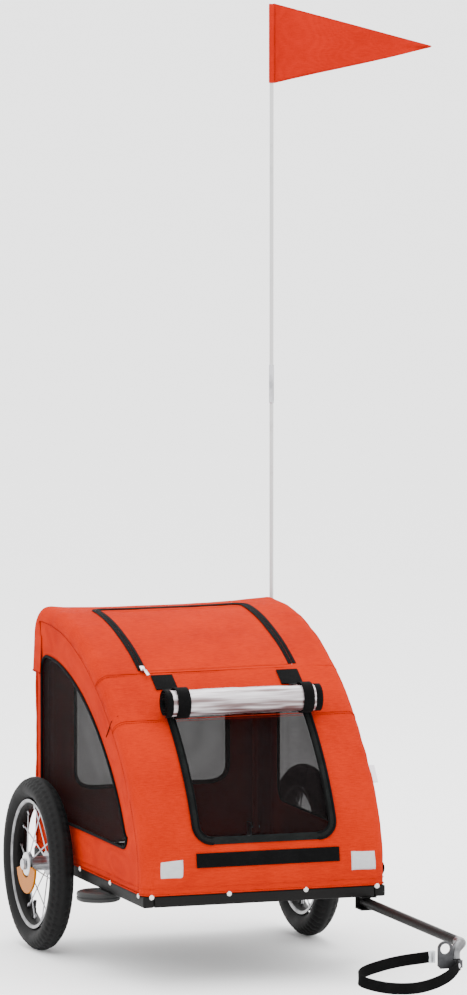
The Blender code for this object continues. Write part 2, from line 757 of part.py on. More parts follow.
def build_flag():
    """The mast, which turns in its socket, and its pennant."""
    rod("mast", (MAST_X, MAST_Y, MAST_BOTTOM), (MAST_X, MAST_Y, FLAG_TOP), MAST_RADIUS, "white_rod", sides=12)
    near = MAST_X + MAST_RADIUS + GAP
    work = bmesh.new()
    low = MAST_Y - FLAG_THICKNESS / 2
    corners = ((near, FLAG_BOTTOM), (FLAG_TIP_X, FLAG_TIP_HEIGHT), (near, FLAG_TOP))
    face = work.faces.new([work.verts.new((x, low, z)) for x, z in corners])
    pushed = bmesh.ops.extrude_face_region(work, geom=[face])
    moved = [item for item in pushed["geom"] if isinstance(item, bmesh.types.BMVert)]
    bmesh.ops.translate(work, vec=(0, FLAG_THICKNESS, 0), verts=moved)
    from_bmesh("pennant", work, "orange")
    build_socket()


def build_socket():
    """The mast's blind socket, with the lug that fastens it to the rear panel."""
    axis = (MAST_X, MAST_Y)
    socket = rod("mast_socket", (*axis, SOCKET_BOTTOM), (*axis, SOCKET_TOP), SOCKET_RADIUS, "black_steel")
    lug_low = (MAST_X - 0.024, HALF_LENGTH + GAP, 0.300)
    lug = block("mast_lug", lug_low, (MAST_X - 0.0052, MAST_Y + 0.001, 0.350), "black_steel")
    combine(socket, lug, "UNION")
    bottom = MAST_BOTTOM - GAP
    drill = rod("mast_drill", (*axis, bottom), (*axis, SOCKET_TOP + 0.01), MAST_RADIUS + GAP, "zinc")
    combine(socket, drill, "DIFFERENCE")


def build_cover():
    """The rolled rain cover, its two straps and tabs, and the trim on the front panel."""
    clearance = 0.0028
    t = nose_at(ROLL_HEIGHT, 1)
    middle = nose_point(t) + nose_outward(t) * (ROLL_RADIUS + clearance)
    centre = Vector((TRIM_X, middle[0], middle[1]))
    half = ROLL_HALF_LENGTH
    tube_section = [(ROLL_BORE, -half), (ROLL_RADIUS, -half), (ROLL_RADIUS, half), (ROLL_BORE, half)]
    turned("rain_cover_roll", tube_section, centre, (1, 0, 0), 24, "clear_film")
    band = STRAP_BAND_WIDTH / 2
    ring_low, ring_high = ROLL_RADIUS + GAP, ROLL_RADIUS + 0.0020
    ring = [(ring_low, -band), (ring_high, -band), (ring_high, band), (ring_low, band)]
    for side, name in ((1, "left"), (-1, "right")):
        at = centre + Vector((side * STRAP_BAND_X, 0, 0))
        turned(f"roll_strap_{name}", ring, at, (1, 0, 0), 24, "webbing")
        tab = TRIM_X + side * TAB_X
        low, high = tab - TAB_WIDTH / 2, tab + TAB_WIDTH / 2
        patch(f"cover_tab_{name}", low, high, nose_at(TAB_BOTTOM, 1), nose_at(TAB_TOP, 1), GAP, 0.0015, "webbing")
        middle_x = TRIM_X + side * REFLECTOR_X
        patch(
            f"front_reflector_{name}", middle_x - REFLECTOR_HALF_WIDTH, middle_x + REFLECTOR_HALF_WIDTH,
            nose_at(REFLECTOR_BOTTOM, 1), nose_at(REFLECTOR_TOP, 1), GAP, 0.002, "reflector",
        )
    first = nose_at(SLIDER_BOTTOM, 1)
    patch(
        "zip_slider", SLIDER_X - 0.005, SLIDER_X + 0.005, first, first + 0.028, GAP, 0.004, "zinc"
    )
    patch(
        "hook_band", TRIM_X - HOOK_BAND_HALF, TRIM_X + HOOK_BAND_HALF, nose_at(HOOK_BAND_BOTTOM, 1),
        nose_at(HOOK_BAND_TOP, 1), GAP, 0.0012, "webbing",
    )


def centre_on_ground():
    """Moves everything so that the origin is the middle of the object's box, at the ground.

    The free strap and its buckle are left out of that box.
    """
    bpy.context.view_layer.update()
    free = ("safety_strap", "strap_buckle")
    shown = [found for found in bpy.context.scene.objects if not found.hide_render and found.name not in free]
    depsgraph = bpy.context.evaluated_depsgraph_get()
    corners = []
    for found in shown:
        solid = found.evaluated_get(depsgraph)
        corners += [solid.matrix_world @ vertex.co for vertex in solid.to_mesh().vertices]
        solid.to_mesh_clear()
    low = Vector(min(corner[axis] for corner in corners) for axis in range(3))
    high = Vector(max(corner[axis] for corner in corners) for axis in range(3))
    shift = Vector(((low.x + high.x) / 2, (low.y + high.y) / 2, low.z))
    print("origin moved by", [round(value, 6) for value in shift])
    for found in bpy.context.scene.objects:
        found.location -= shift


def main():
    """Builds every piece in order."""
    clear_scene()
    build_base()
    build_sides()
    build_front()
    build_roof()
    build_rear()
    build_bows()
    build_wheel(1, "left")
    build_wheel(-1, "right")
    build_discs()
    build_clevis()
    build_arm()
    build_hitch_plate()
    build_strap()
    build_flag()
    build_cover()
    centre_on_ground()


main()
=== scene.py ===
"""Looks of a two-wheeled pet trailer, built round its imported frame.

Pieces are worked out round the middle of the cabin at ground level and moved into the frame's own
axes when they are made: the nose points along -Y, the trailer's left is +X, and +Z is up.
"""
import logging
import math
from dataclasses import dataclass, field
from enum import Enum
from typing import Callable, Iterable, Sequence

import bmesh
import bpy
from mathutils import Matrix, Vector, noise


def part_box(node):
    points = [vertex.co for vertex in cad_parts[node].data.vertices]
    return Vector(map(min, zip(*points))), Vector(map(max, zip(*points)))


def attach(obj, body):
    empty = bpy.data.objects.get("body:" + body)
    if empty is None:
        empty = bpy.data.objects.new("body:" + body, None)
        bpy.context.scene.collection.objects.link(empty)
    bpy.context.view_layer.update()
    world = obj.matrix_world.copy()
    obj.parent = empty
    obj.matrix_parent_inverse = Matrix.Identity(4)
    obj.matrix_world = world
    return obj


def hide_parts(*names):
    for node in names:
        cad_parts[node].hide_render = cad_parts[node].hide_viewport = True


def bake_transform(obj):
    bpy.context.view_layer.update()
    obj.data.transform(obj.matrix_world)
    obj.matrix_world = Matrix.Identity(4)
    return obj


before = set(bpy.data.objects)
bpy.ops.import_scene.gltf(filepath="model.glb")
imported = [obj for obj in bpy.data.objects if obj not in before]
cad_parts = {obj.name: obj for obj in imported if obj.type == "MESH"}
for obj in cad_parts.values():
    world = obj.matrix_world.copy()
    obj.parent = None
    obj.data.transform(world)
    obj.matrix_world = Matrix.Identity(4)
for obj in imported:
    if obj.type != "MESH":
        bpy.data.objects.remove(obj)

LOG = logging.getLogger("trailer")
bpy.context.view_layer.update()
Colour = tuple[float, float, float]
Grid = list[list[Vector]]
Relief = Callable[[float, int], float]


class Side(Enum):
    """The two sides of the trailer, with the sign of x on each."""

    LEFT = 1
    RIGHT = -1

    @property
    def tag(self) -> str:
        """The word that node names end with."""
        return self.name.lower()


class Body(Enum):
    """The bodies that pieces move with."""

    CABIN = "cabin"
    FLAP = "roof_flap"
    ARM = "tow_arm"
    COUPLER = "coupler"
    FLAG = "flag"
    WHEEL_LEFT = "wheel_left"
    WHEEL_RIGHT = "wheel_right"


def cabin_middle() -> Vector:
    """The middle of the cabin at ground level, in the frame's axes."""
    left_low, left_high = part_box("side_rail_left")
    right_low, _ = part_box("side_rail_right")
    return Vector(((left_high.x + right_low.x) / 2, (left_low.y + left_high.y) / 2, 0.0))


MIDDLE = cabin_middle()


# ---------------------------------------------------------------- shader maths


class Signal:
    """A value or colour that varies over a surface, which can be used in Python sums."""

    def __init__(self, paint: "Paint", socket: bpy.types.NodeSocket) -> None:
        """Args:
            paint: the material that the value belongs to.
            socket: the output that carries it.
        """
        self.paint = paint
        self.socket = socket

    def _sum(self, operation: str, *values: "Signal | float") -> "Signal":
        """One Math node on these values."""
        return self.paint.node("ShaderNodeMath", {"operation": operation}, dict(enumerate(values)))

    def __add__(self, other: "Signal | float") -> "Signal":
        """self + other."""
        return self._sum("ADD", self, other)

    def __sub__(self, other: "Signal | float") -> "Signal":
        """self - other."""
        return self._sum("SUBTRACT", self, other)

    def __rsub__(self, other: float) -> "Signal":
        """other - self."""
        return self._sum("SUBTRACT", other, self)

    def __mul__(self, other: "Signal | float") -> "Signal":
        """self * other."""
        return self._sum("MULTIPLY", self, other)

    def __abs__(self) -> "Signal":
        """abs(self)."""
        return self._sum("ABSOLUTE", self)

    __radd__ = __add__
    __rmul__ = __mul__

    def sine(self) -> "Signal":
        """The sine of the value, in radians."""
        return self._sum("SINE", self)

    def highest(self, other: "Signal | float") -> "Signal":
        """The higher of two values."""
        return self._sum("MAXIMUM", self, other)

    def step(self, low: float, high: float) -> "Signal":
        """0 below low and 1 above high, with a smooth ramp between."""
        settings = {"interpolation_type": "SMOOTHSTEP"}
        return self.paint.node("ShaderNodeMapRange", settings, {0: self, 1: low, 2: high})


class Paint:
    """One material and the few calls that build its nodes."""

    def __init__(self, name: str) -> None:
        """Args:
            name: the material's name.
        """
        self.material = bpy.data.materials.new(name)
        self.material.use_nodes = True
        self.tree = self.material.node_tree
        self.shader = self.tree.nodes["Principled BSDF"]

    def node(self, kind: str, settings: dict | None = None, inputs: dict | None = None, out: int | str = 0) -> Signal:
        """Adds a node.

        Args:
            kind: the node's type.
            settings: its own properties, which are set first.
            inputs: values or signals, by socket name or number.
            out: the output that is handed back.

        Returns:
            The chosen output.
        """
        made = self.tree.nodes.new(kind)
        for key, value in (settings or {}).items():
            setattr(made, key, value)
        for key, value in (inputs or {}).items():
            self.feed(made.inputs[key], value)
        return Signal(self, made.outputs[out])

    def feed(self, socket: bpy.types.NodeSocket, value: "Signal | float | Sequence[float]") -> None:
        """Links a signal to a socket, or sets its constant."""
        if isinstance(value, Signal):
            self.tree.links.new(value.socket, socket)
        elif isinstance(value, (tuple, list)) and len(value) == 3 and socket.type == "RGBA":
            socket.default_value = (*value, 1.0)
        else:
            socket.default_value = value

    def place(self, stretch: Colour = (1.0, 1.0, 1.0), turn: Colour = (0.0, 0.0, 0.0)) -> Signal:
        """The point on the piece, in metres, turned and then stretched."""
        raw = self.node("ShaderNodeTexCoord", out="Object")
        return self.node("ShaderNodeMapping", {"vector_type": "POINT"}, {0: raw, "Rotation": turn, "Scale": stretch})

    def axis(self, name: str, at: Signal | None = None) -> Signal:
        """One coordinate of a point: X, Y or Z."""
        return self.node("ShaderNodeSeparateXYZ", inputs={0: at or self.place()}, out=name)

    def grain(self, size: float, detail: float = 3.0, at: Signal | None = None, rough: float = 0.55) -> Signal:
        """Soft noise whose blotches are about size metres across, from 0 to 1."""
        inputs = {"Vector": at or self.place(), "Scale": 1.0 / size, "Detail": detail, "Roughness": rough}
        return self.node("ShaderNodeTexNoise", None, inputs)

    def ribs(self, pitch: float, name: str, at: Signal | None = None) -> Signal:
        """Even ribs across one coordinate, from 0 to 1."""
        return (self.axis(name, at) * (2 * math.pi / pitch)).sine() * 0.5 + 0.5

    def mix(self, factor: Signal, first: Signal | Colour, second: Signal | Colour) -> Signal:
        """A colour that goes from the first to the second."""
        made = self.tree.nodes.new("ShaderNodeMix")
        made.data_type = "RGBA"
        self.feed(made.inputs["Factor"], factor)
        self.feed(made.inputs["A"], first)
        self.feed(made.inputs["B"], second)
        return Signal(self, next(out for out in made.outputs if out.type == "RGBA"))

    def bump(self, height: Signal, distance: float, strength: float = 1.0) -> Signal:
        """A surface normal from a height."""
        return self.node("ShaderNodeBump", None, {"Height": height, "Distance": distance, "Strength": strength})

    def dress(self, **sockets: "Signal | float | Sequence[float]") -> bpy.types.Material:
        """Sets the shader's sockets, each named with _ for a space, and hands back the material."""
        for key, value in sockets.items():
            self.feed(self.shader.inputs[key.replace("_", " ")], value)
        return self.material


# -------------------------------------------------------------------- finishes


@dataclass(frozen=True)
class Cloth:
    """Coated woven polyester: plain weave, faint slubs, sun-faded patches and a dull sheen."""

    name: str
    colour: Colour
    faded: Colour
    thread: float = 0.0011
    roughness: float = 0.86
    sheen: float = 0.0

    def material(self) -> bpy.types.Material:
        """The cloth's material."""
        paint = Paint(self.name)
        spot = paint.place()
        across = paint.ribs(self.thread, "X", spot)
        along = paint.ribs(self.thread, "Z", spot).highest(paint.ribs(self.thread, "Y", spot))
        weave = across * 0.5 + along * 0.5
        slub = paint.grain(0.004, 2.0, paint.place(stretch=(0.35, 1.0, 4.0)))
        patches = paint.grain(0.11, 3.0)
        shade = (patches * 0.40 + slub * 0.45 + weave * 0.15).step(0.30, 0.70)
        colour = paint.mix(shade, self.colour, self.faded)
        creases = paint.grain(0.045, 4.0, paint.place(stretch=(1.0, 1.0, 0.55)))
        height = weave * 0.12 + slub * 0.25 + creases
        return paint.dress(
            Base_Color=colour, Roughness=self.roughness + patches * 0.12, Sheen_Weight=self.sheen,
            Sheen_Roughness=0.45, Specular_IOR_Level=0.04, Normal=paint.bump(height, 0.0022, 0.75),
        )


@dataclass(frozen=True)
class Net:
    """Fine black net: most of the light is held back, and the view through it stays."""

    name: str
    colour: Colour = (0.0022, 0.0016, 0.0016)
    cover: float = 0.82
    pitch: float = 0.0016

    def material(self) -> bpy.types.Material:
        """The net's material, with its holes as a share of clear surface."""
        paint = Paint(self.name)
        spot = paint.place()
        ups = paint.ribs(self.pitch, "Z", spot)
        level = paint.ribs(self.pitch, "X", spot).highest(paint.ribs(self.pitch, "Y", spot))
        thread = ups.highest(level)
        alpha = thread * 0.10 + (self.cover - 0.08)
        tone = paint.mix(paint.grain(0.05), self.colour, (0.0045, 0.0036, 0.0036))
        return paint.dress(
            Base_Color=tone, Roughness=0.90, Alpha=alpha, Specular_IOR_Level=0.04,
            Normal=paint.bump(thread, 0.0003, 0.5),
        )


@dataclass(frozen=True)
class Tape:
    """Woven tape: ribs across it, a little fuzz and rubbed edges."""

    name: str
    colour: Colour = (0.0010, 0.0010, 0.0011)
    worn: Colour = (0.0036, 0.0036, 0.0038)
    pitch: float = 0.0018

    def material(self) -> bpy.types.Material:
        """The tape's material."""
        paint = Paint(self.name)
        ribs = paint.ribs(self.pitch, "X") * 0.5 + paint.ribs(self.pitch, "Z") * 0.5
        fuzz = paint.grain(0.0015, 2.0)
        colour = paint.mix((fuzz * 0.6 + paint.grain(0.03) * 0.4).step(0.40, 0.75), self.colour, self.worn)
        return paint.dress(
            Base_Color=colour, Roughness=0.88, Sheen_Weight=0.01, Specular_IOR_Level=0.05,
            Normal=paint.bump(ribs + fuzz * 0.5, 0.0007, 0.8),
        )


@dataclass(frozen=True)
class Coat:
    """Powder coat or moulded plastic: fine orange peel, dust and scuffs."""

    name: str
    colour: Colour
    scuffed: Colour
    roughness: float = 0.38
    peel: float = 0.0016
    coat: float = 0.0
    shine: float = 0.5

    def material(self) -> bpy.types.Material:
        """The coat's material."""
        paint = Paint(self.name)
        scuffs = (paint.grain(0.012, 6.0, rough=0.7) * paint.grain(0.09, 2.0)).step(0.26, 0.42)
        colour = paint.mix(scuffs, self.colour, self.scuffed)
        return paint.dress(
            Base_Color=colour, Roughness=self.roughness + scuffs * 0.22,
            Coat_Weight=self.coat, Specular_IOR_Level=self.shine,
            Normal=paint.bump(paint.grain(self.peel, 2.0), 0.0003, 0.45),
        )


@dataclass(frozen=True)
class Metal:
    """Bright zinc or chrome with faint drawing lines and dulled patches."""

    name: str
    colour: Colour = (0.46, 0.46, 0.48)
    dull: Colour = (0.24, 0.24, 0.25)
    roughness: float = 0.22

    def material(self) -> bpy.types.Material:
        """The metal's material."""
        paint = Paint(self.name)
        lines = paint.grain(0.0008, 2.0, paint.place(stretch=(1.0, 1.0, 0.08)))
        patches = paint.grain(0.02, 4.0)
        colour = paint.mix(patches.step(0.35, 0.75), self.colour, self.dull)
        return paint.dress(
            Base_Color=colour, Metallic=1.0, Roughness=self.roughness + patches * 0.18,
            Normal=paint.bump(lines, 0.0001, 0.5),
        )


@dataclass(frozen=True)
class Rubber:
    """Tyre or joint rubber: matt, with a grey bloom and dust in its hollows."""

    name: str
    colour: Colour = (0.0022, 0.0022, 0.0024)
    bloom: Colour = (0.0080, 0.0079, 0.0078)

    def material(self) -> bpy.types.Material:
        """The rubber's material."""
        paint = Paint(self.name)
        bloom = (paint.grain(0.03, 5.0) * 0.7 + paint.grain(0.002, 2.0) * 0.3).step(0.40, 0.72)
        colour = paint.mix(bloom, self.colour, self.bloom)
        return paint.dress(
            Base_Color=colour, Roughness=0.70 + bloom * 0.20, Specular_IOR_Level=0.15,
            Normal=paint.bump(paint.grain(0.0011, 3.0), 0.0003, 0.6),
        )


@dataclass(frozen=True)
class Film:
    """Soft clear film, rolled up: glossy and creased along the roll, with milky layers and dark streaks of painted
    shade and reflection between them.
    """

    name: str
    colour: Colour = (0.52, 0.49, 0.51)
    # shade: the colour of the painted shade and reflection streaks in the roll.
    shade: Colour = (0.085, 0.043, 0.043)

    def material(self) -> bpy.types.Material:
        """The film's material."""
        paint = Paint(self.name)
        long_way = paint.place(stretch=(0.07, 1.0, 1.0))
        folds = paint.grain(0.0090, 1.5, long_way, 0.5)
        streaks = paint.grain(0.013, 2.0, long_way)
        # The shade colour in the streaks is painted shade and reflection, not a tint of the film.
        colour = paint.mix((folds * 0.5 + streaks * 0.5).step(0.40, 0.62), self.shade, self.colour)
        return paint.dress(
            Base_Color=colour, Roughness=0.10 + streaks * 0.12, Coat_Weight=0.6, Coat_Roughness=0.05,
            Normal=paint.bump(folds, 0.0045, 0.7),
        )


@dataclass(frozen=True)
class Lens:
    """Moulded reflector: small prisms behind a glossy face."""

    name: str
    colour: Colour
    deep: Colour
    prism: float = 0.0032
    shine: float = 0.3

    def material(self) -> bpy.types.Material:
        """The reflector's material."""
        paint = Paint(self.name)
        turned = paint.place(turn=(0.0, math.pi / 4, 0.0))
        prisms = abs(paint.ribs(self.prism, "X", turned) - paint.ribs(self.prism, "Z", turned))
        colour = paint.mix(prisms * 0.6 + paint.grain(0.012) * 0.4, self.colour, self.deep)
        return paint.dress(
            Base_Color=colour, Roughness=0.34 + prisms * 0.15, Specular_IOR_Level=self.shine,
            Normal=paint.bump(prisms, 0.0006, 0.5),
        )


class Finishes:
    """Every material of the trailer, made once."""

    def __init__(self) -> None:
        """Makes the materials."""
        self.cover = Cloth("orange_cover_cloth", (0.245, 0.0072, 0.0003), (0.370, 0.0155, 0.0009)).material()
        self.seam = Cloth("orange_seam_cloth", (0.140, 0.0038, 0.0002), (0.215, 0.0085, 0.0005)).material()
        self.pennant = Cloth("pennant_cloth", (0.270, 0.0060, 0.0010), (0.360, 0.0110, 0.0025), 0.0007).material()
        self.lining = Cloth("black_lining_cloth", (0.010, 0.009, 0.009), (0.024, 0.021, 0.021)).material()
        self.net = Net("black_net").material()
        self.tape = Tape("black_tape").material()
        self.grey_tape = Tape("grey_mesh_tape", (0.0040, 0.0047, 0.0046), (0.0125, 0.014, 0.0135), 0.0012).material()
        self.powder = Coat(
            "black_powder_coat", (0.0014, 0.0011, 0.0010), (0.0050, 0.0044, 0.0041), 0.55, shine=0.12,
        ).material()
        self.dark = Coat(
            "dark_moulded_plastic", (0.010, 0.0105, 0.0105), (0.024, 0.0245, 0.0245), 0.55, shine=0.3,
        ).material()
        self.rod = Coat("white_glass_fibre", (0.42, 0.42, 0.42), (0.34, 0.34, 0.34), 0.30, coat=0.2).material()
        self.stud = Coat("white_stud_enamel", (0.55, 0.54, 0.52), (0.40, 0.39, 0.38), 0.25, coat=0.4).material()
        self.label = Tape("blank_label_cloth", (0.72, 0.70, 0.73), (0.82, 0.81, 0.83)).material()
        self.cap = Coat("white_hub_cap", (0.45, 0.46, 0.47), (0.30, 0.31, 0.32), 0.28, coat=0.4).material()
        self.clear = Coat("clear_moulded_plastic", (0.52, 0.54, 0.56), (0.40, 0.42, 0.44), 0.12, coat=0.6).material()
        self.zinc = Metal("bright_zinc").material()
        # The rim chrome's colour is kept dark: painted dark reflection, standing in for bright chrome that mirrors its
        # dark surroundings.
        self.chrome = Metal("rim_chrome", (0.17, 0.17, 0.175), (0.055, 0.055, 0.058), 0.24).material()
        self.elbow = Metal("dull_silver_elbow", (0.16, 0.16, 0.165), (0.075, 0.075, 0.078), 0.30).material()
        self.sleeve = Cloth("bow_sleeve_cloth", (0.26, 0.0110, 0.0010), (0.34, 0.0180, 0.0020)).material()
        self.steel = Metal("grey_steel", (0.055, 0.055, 0.058), (0.030, 0.030, 0.032), 0.40).material()
        self.tyre = Rubber("tyre_rubber").material()
        self.joint = Rubber("joint_rubber", (0.0045, 0.0045, 0.0048), (0.014, 0.014, 0.0145)).material()
        self.film = Film("clear_rain_film").material()
        self.silver_lens = Lens("silver_reflector", (0.44, 0.45, 0.46), (0.22, 0.23, 0.24)).material()
        self.amber_lens = Lens(
            "amber_reflector", (0.40, 0.135, 0.0003), (0.23, 0.058, 0.0002), 0.0045, 0.05,
        ).material()


# -------------------------------------------------------------- mesh workshop


@dataclass
class Workshop:
    """Makes meshes in the cabin's axes, and hangs each on its body unless it is given a bend."""

    finishes: Finishes
    count: int = 0

    def piece(
        self, name: str, points: Sequence[Vector], faces: Sequence[Sequence[int]], finish: bpy.types.Material,
        body: Body, slot: str, replaces: Sequence[str] = (), smooth: bool = True, wall: float = 0.0,
        bend: tuple[Vector, Vector] | None = None, crease: float = 40.0,
    ) -> bpy.types.Object:
        """Makes one piece from its points and faces.

        Args:
            name: the piece's name.
            points: places in the cabin's axes.
            faces: the point numbers round each face.
            finish: its material.
            body: the body that it moves with, unless a bend is given.
            slot: the record's material slot; not used.
            replaces: the CAD nodes that it stands for.
            smooth: whether its shading is smooth.
            wall: a wall thickness, inwards, for an open sheet.
            bend: two points across a joint's seam; when given, the piece is baked in place and not hung on its body.
            crease: the angle in degrees above which an edge stays sharp.

        Returns:
            The piece.
        """
        mesh = bpy.data.meshes.new(name)
        mesh.from_pydata([point + MIDDLE for point in points], [], faces)
        work = bmesh.new()
        work.from_mesh(mesh)
        bmesh.ops.remove_doubles(work, verts=work.verts, dist=1e-6)
        if not wall:
            bmesh.ops.recalc_face_normals(work, faces=work.faces)
        work.to_mesh(mesh)
        work.free()
        made = bpy.data.objects.new(name, mesh)
        bpy.context.scene.collection.objects.link(made)
        mesh.materials.append(finish)
        if smooth:
            mesh.shade_smooth()
            mesh.set_sharp_from_angle(angle=math.radians(crease))
        if wall:
            skin = made.modifiers.new("wall", "SOLIDIFY")
            skin.thickness = wall
            skin.offset = -1.0
        if bend:
            tuple(bend[0] + MIDDLE)
            tuple(bend[1] + MIDDLE)
            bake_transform(made)
        else:
            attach(made, body.value)
        if replaces:
            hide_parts(*replaces)
        self.count += 1
        LOG.info("%s on %s", name, body.value)
        return made

    def grid(
        self, name: str, rows: Grid, finish: bpy.types.Material, body: Body, slot: str, **more,
    ) -> bpy.types.Object:
        """Makes a sheet from rows of points."""
        width = len(rows[0])
        faces = [
            (
                row * width + column, row * width + column + 1, (row + 1) * width + column + 1,
                (row + 1) * width + column,
            )
            for row in range(len(rows) - 1)
            for column in range(width - 1)
        ]
        return self.piece(name, [point for row in rows for point in row], faces, finish, body, slot, **more)

    def swept(
        self, name: str, path: Sequence[Vector], ring: Callable[[int, Vector, Vector, Vector], list[Vector]],
        finish: bpy.types.Material, body: Body, slot: str, up: Vector | Sequence[Vector] = Vector((1, 0, 0)),
        closed: bool = False, **more,
    ) -> bpy.types.Object:
        """Carries a closed section along a path.

        Args:
            name: the piece's name.
            path: the points that it follows.
            ring: gives the section's points from the step, the point and its two cross directions.
            finish: its material.
            body: the body that it moves with.
            slot: the record's material slot.
            up: the first cross direction, or one for each point.
            closed: whether the path is a loop.
            more: what else the piece takes.

        Returns:
            The piece.
        """
        rings = []
        last = len(path) - 1
        for number, point in enumerate(path):
            before = path[number - 1] if closed or number else point
            after = path[(number + 1) % len(path)] if closed or number < last else point
            along = (after - before).normalized()
            hint = up[number] if isinstance(up, (list, tuple)) else up
            first = (hint - along * hint.dot(along)).normalized()
            rings.append(ring(number, point, first, along.cross(first)))
        size = len(rings[0])
        points = [point for found in rings for point in found]
        faces = []
        for number in range(len(rings) if closed else last):
            low, high = number * size, ((number + 1) % len(rings)) * size
            faces += [
                (low + corner, low + (corner + 1) % size, high + (corner + 1) % size, high + corner)
                for corner in range(size)
            ]
        if not closed:
            faces += [tuple(range(size)), tuple(range(last * size, (last + 1) * size))]
        return self.piece(name, points, faces, finish, body, slot, **more)

    def cord(
        self, name: str, path: Sequence[Vector], radius: float, finish: bpy.types.Material, body: Body, slot: str,
        sides: int = 10, **more,
    ) -> bpy.types.Object:
        """A round tube along a path, for piping, seams and bent bars."""

        def ring(_: int, point: Vector, first: Vector, second: Vector) -> list[Vector]:
            """The tube's section at a point."""
            turns = [2 * math.pi * side / sides for side in range(sides)]
            return [point + (first * math.cos(turn) + second * math.sin(turn)) * radius for turn in turns]

        return self.swept(name, path, ring, finish, body, slot, **more)

    def band(
        self, name: str, path: Sequence[Vector], outward: Sequence[Vector], width: float, thick: float,
        finish: bpy.types.Material, body: Body, slot: str, **more,
    ) -> bpy.types.Object:
        """A flat tape along a path that lies on a surface.

        Args:
            name: the piece's name.
            path: its middle line, on the surface.
            outward: the surface's outward direction at each point.
            width: across the tape.
            thick: through the tape.
            finish: its material.
            body: the body that it moves with.
            slot: the record's material slot.
            more: what else the piece takes.

        Returns:
            The piece.
        """

        def ring(_: int, point: Vector, first: Vector, second: Vector) -> list[Vector]:
            """The tape's section at a point, thinner at its edges."""
            half, edge = width / 2, width / 2 - thick * 0.6
            flat = [
                (-half, 0.3), (-edge, 0.0), (edge, 0.0), (half, 0.3), (half, 0.7), (edge, 1.0), (-edge, 1.0),
                (-half, 0.7),
            ]
            return [point + second * across + first * thick * lift for across, lift in flat]

        return self.swept(name, path, ring, finish, body, slot, up=list(outward), **more)

    def turned(
        self, name: str, section: Sequence[tuple[float, float]], centre: Vector, axis: Vector, steps: int,
        finish: bpy.types.Material, body: Body, slot: str, relief: Relief | None = None, **more,
    ) -> bpy.types.Object:
        """Turns a closed (radius, along) section about an axis.

        Args:
            name: the piece's name.
            section: the section's points, in order.
            centre: the point that radius 0, along 0 stands for.
            axis: the direction that "along" runs in.
            steps: how many steps the turn has.
            finish: its material.
            body: the body that it moves with.
            slot: the record's material slot.
            relief: how much radius is added, from the turn and the section point's number.
            more: what else the piece takes.

        Returns:
            The piece.
        """
        turn = Vector((0, 0, 1)).rotation_difference(axis).to_matrix()
        points, faces, size = [], [], len(section)
        for step in range(steps):
            angle = 2 * math.pi * step / steps
            for number, (radius, along) in enumerate(section):
                reach = radius + (relief(angle, number) if relief else 0.0)
                points.append(centre + turn @ Vector((reach * math.cos(angle), reach * math.sin(angle), along)))
            after = (step + 1) % steps
            faces += [
                (
                    step * size + spot, step * size + (spot + 1) % size, after * size + (spot + 1) % size,
                    after * size + spot,
                )
                for spot in range(size)
            ]
        return self.piece(name, points, faces, finish, body, slot, **more)

    def rounded(
        self, name: str, low: Vector, high: Vector, radius: float, finish: bpy.types.Material, body: Body, slot: str,
        turn: Matrix | None = None, **more,
    ) -> bpy.types.Object:
        """A bar or block with rounded edges, optionally turned about its middle."""
        work = bmesh.new()
        bmesh.ops.create_cube(work, size=1.0)
        size, middle = high - low, (low + high) / 2
        bmesh.ops.scale(work, vec=size, verts=work.verts)
        bmesh.ops.bevel(work, geom=work.edges[:], offset=radius, segments=3, profile=0.5, affect="EDGES")
        work.verts.index_update()
        to_place = turn.to_3x3() if turn else Matrix.Identity(3)
        points = [middle + to_place @ vertex.co for vertex in work.verts]
        faces = [[vertex.index for vertex in face.verts] for face in work.faces]
        work.free()
        return self.piece(name, points, faces, finish, body, slot, **more)

    def stitches(
        self, name: str, path: Sequence[Vector], outward: Sequence[Vector], finish: bpy.types.Material, body: Body,
        slot: str, length: float = 0.0030, pitch: float = 0.0045, thick: float = 0.0005, **more,
    ) -> bpy.types.Object:
        """A row of short stitches along a path, as one piece."""
        points, faces, left = [], [], 0.0
        for start, end, lift in zip(path, path[1:], outward):
            along = end - start
            reach = along.length
            if reach < 1e-9:
                continue
            along = along / reach
            across = along.cross(lift).normalized() * thick
            while left < reach:
                at, base = start + along * left, len(points)
                for place in (0.0, length):
                    near = at + along * place
                    points += [near - across, near + lift * thick * 1.2, near + across, near - lift * thick * 0.5]
                faces += [(base + k, base + (k + 1) % 4, base + 4 + (k + 1) % 4, base + 4 + k) for k in range(4)]
                faces += [(base, base + 1, base + 2, base + 3), (base + 4, base + 5, base + 6, base + 7)]
                left += pitch
            left -= reach
        return self.piece(name, points, faces, finish, body, slot, **more)


# ---------------------------------------------------------------- cabin outline


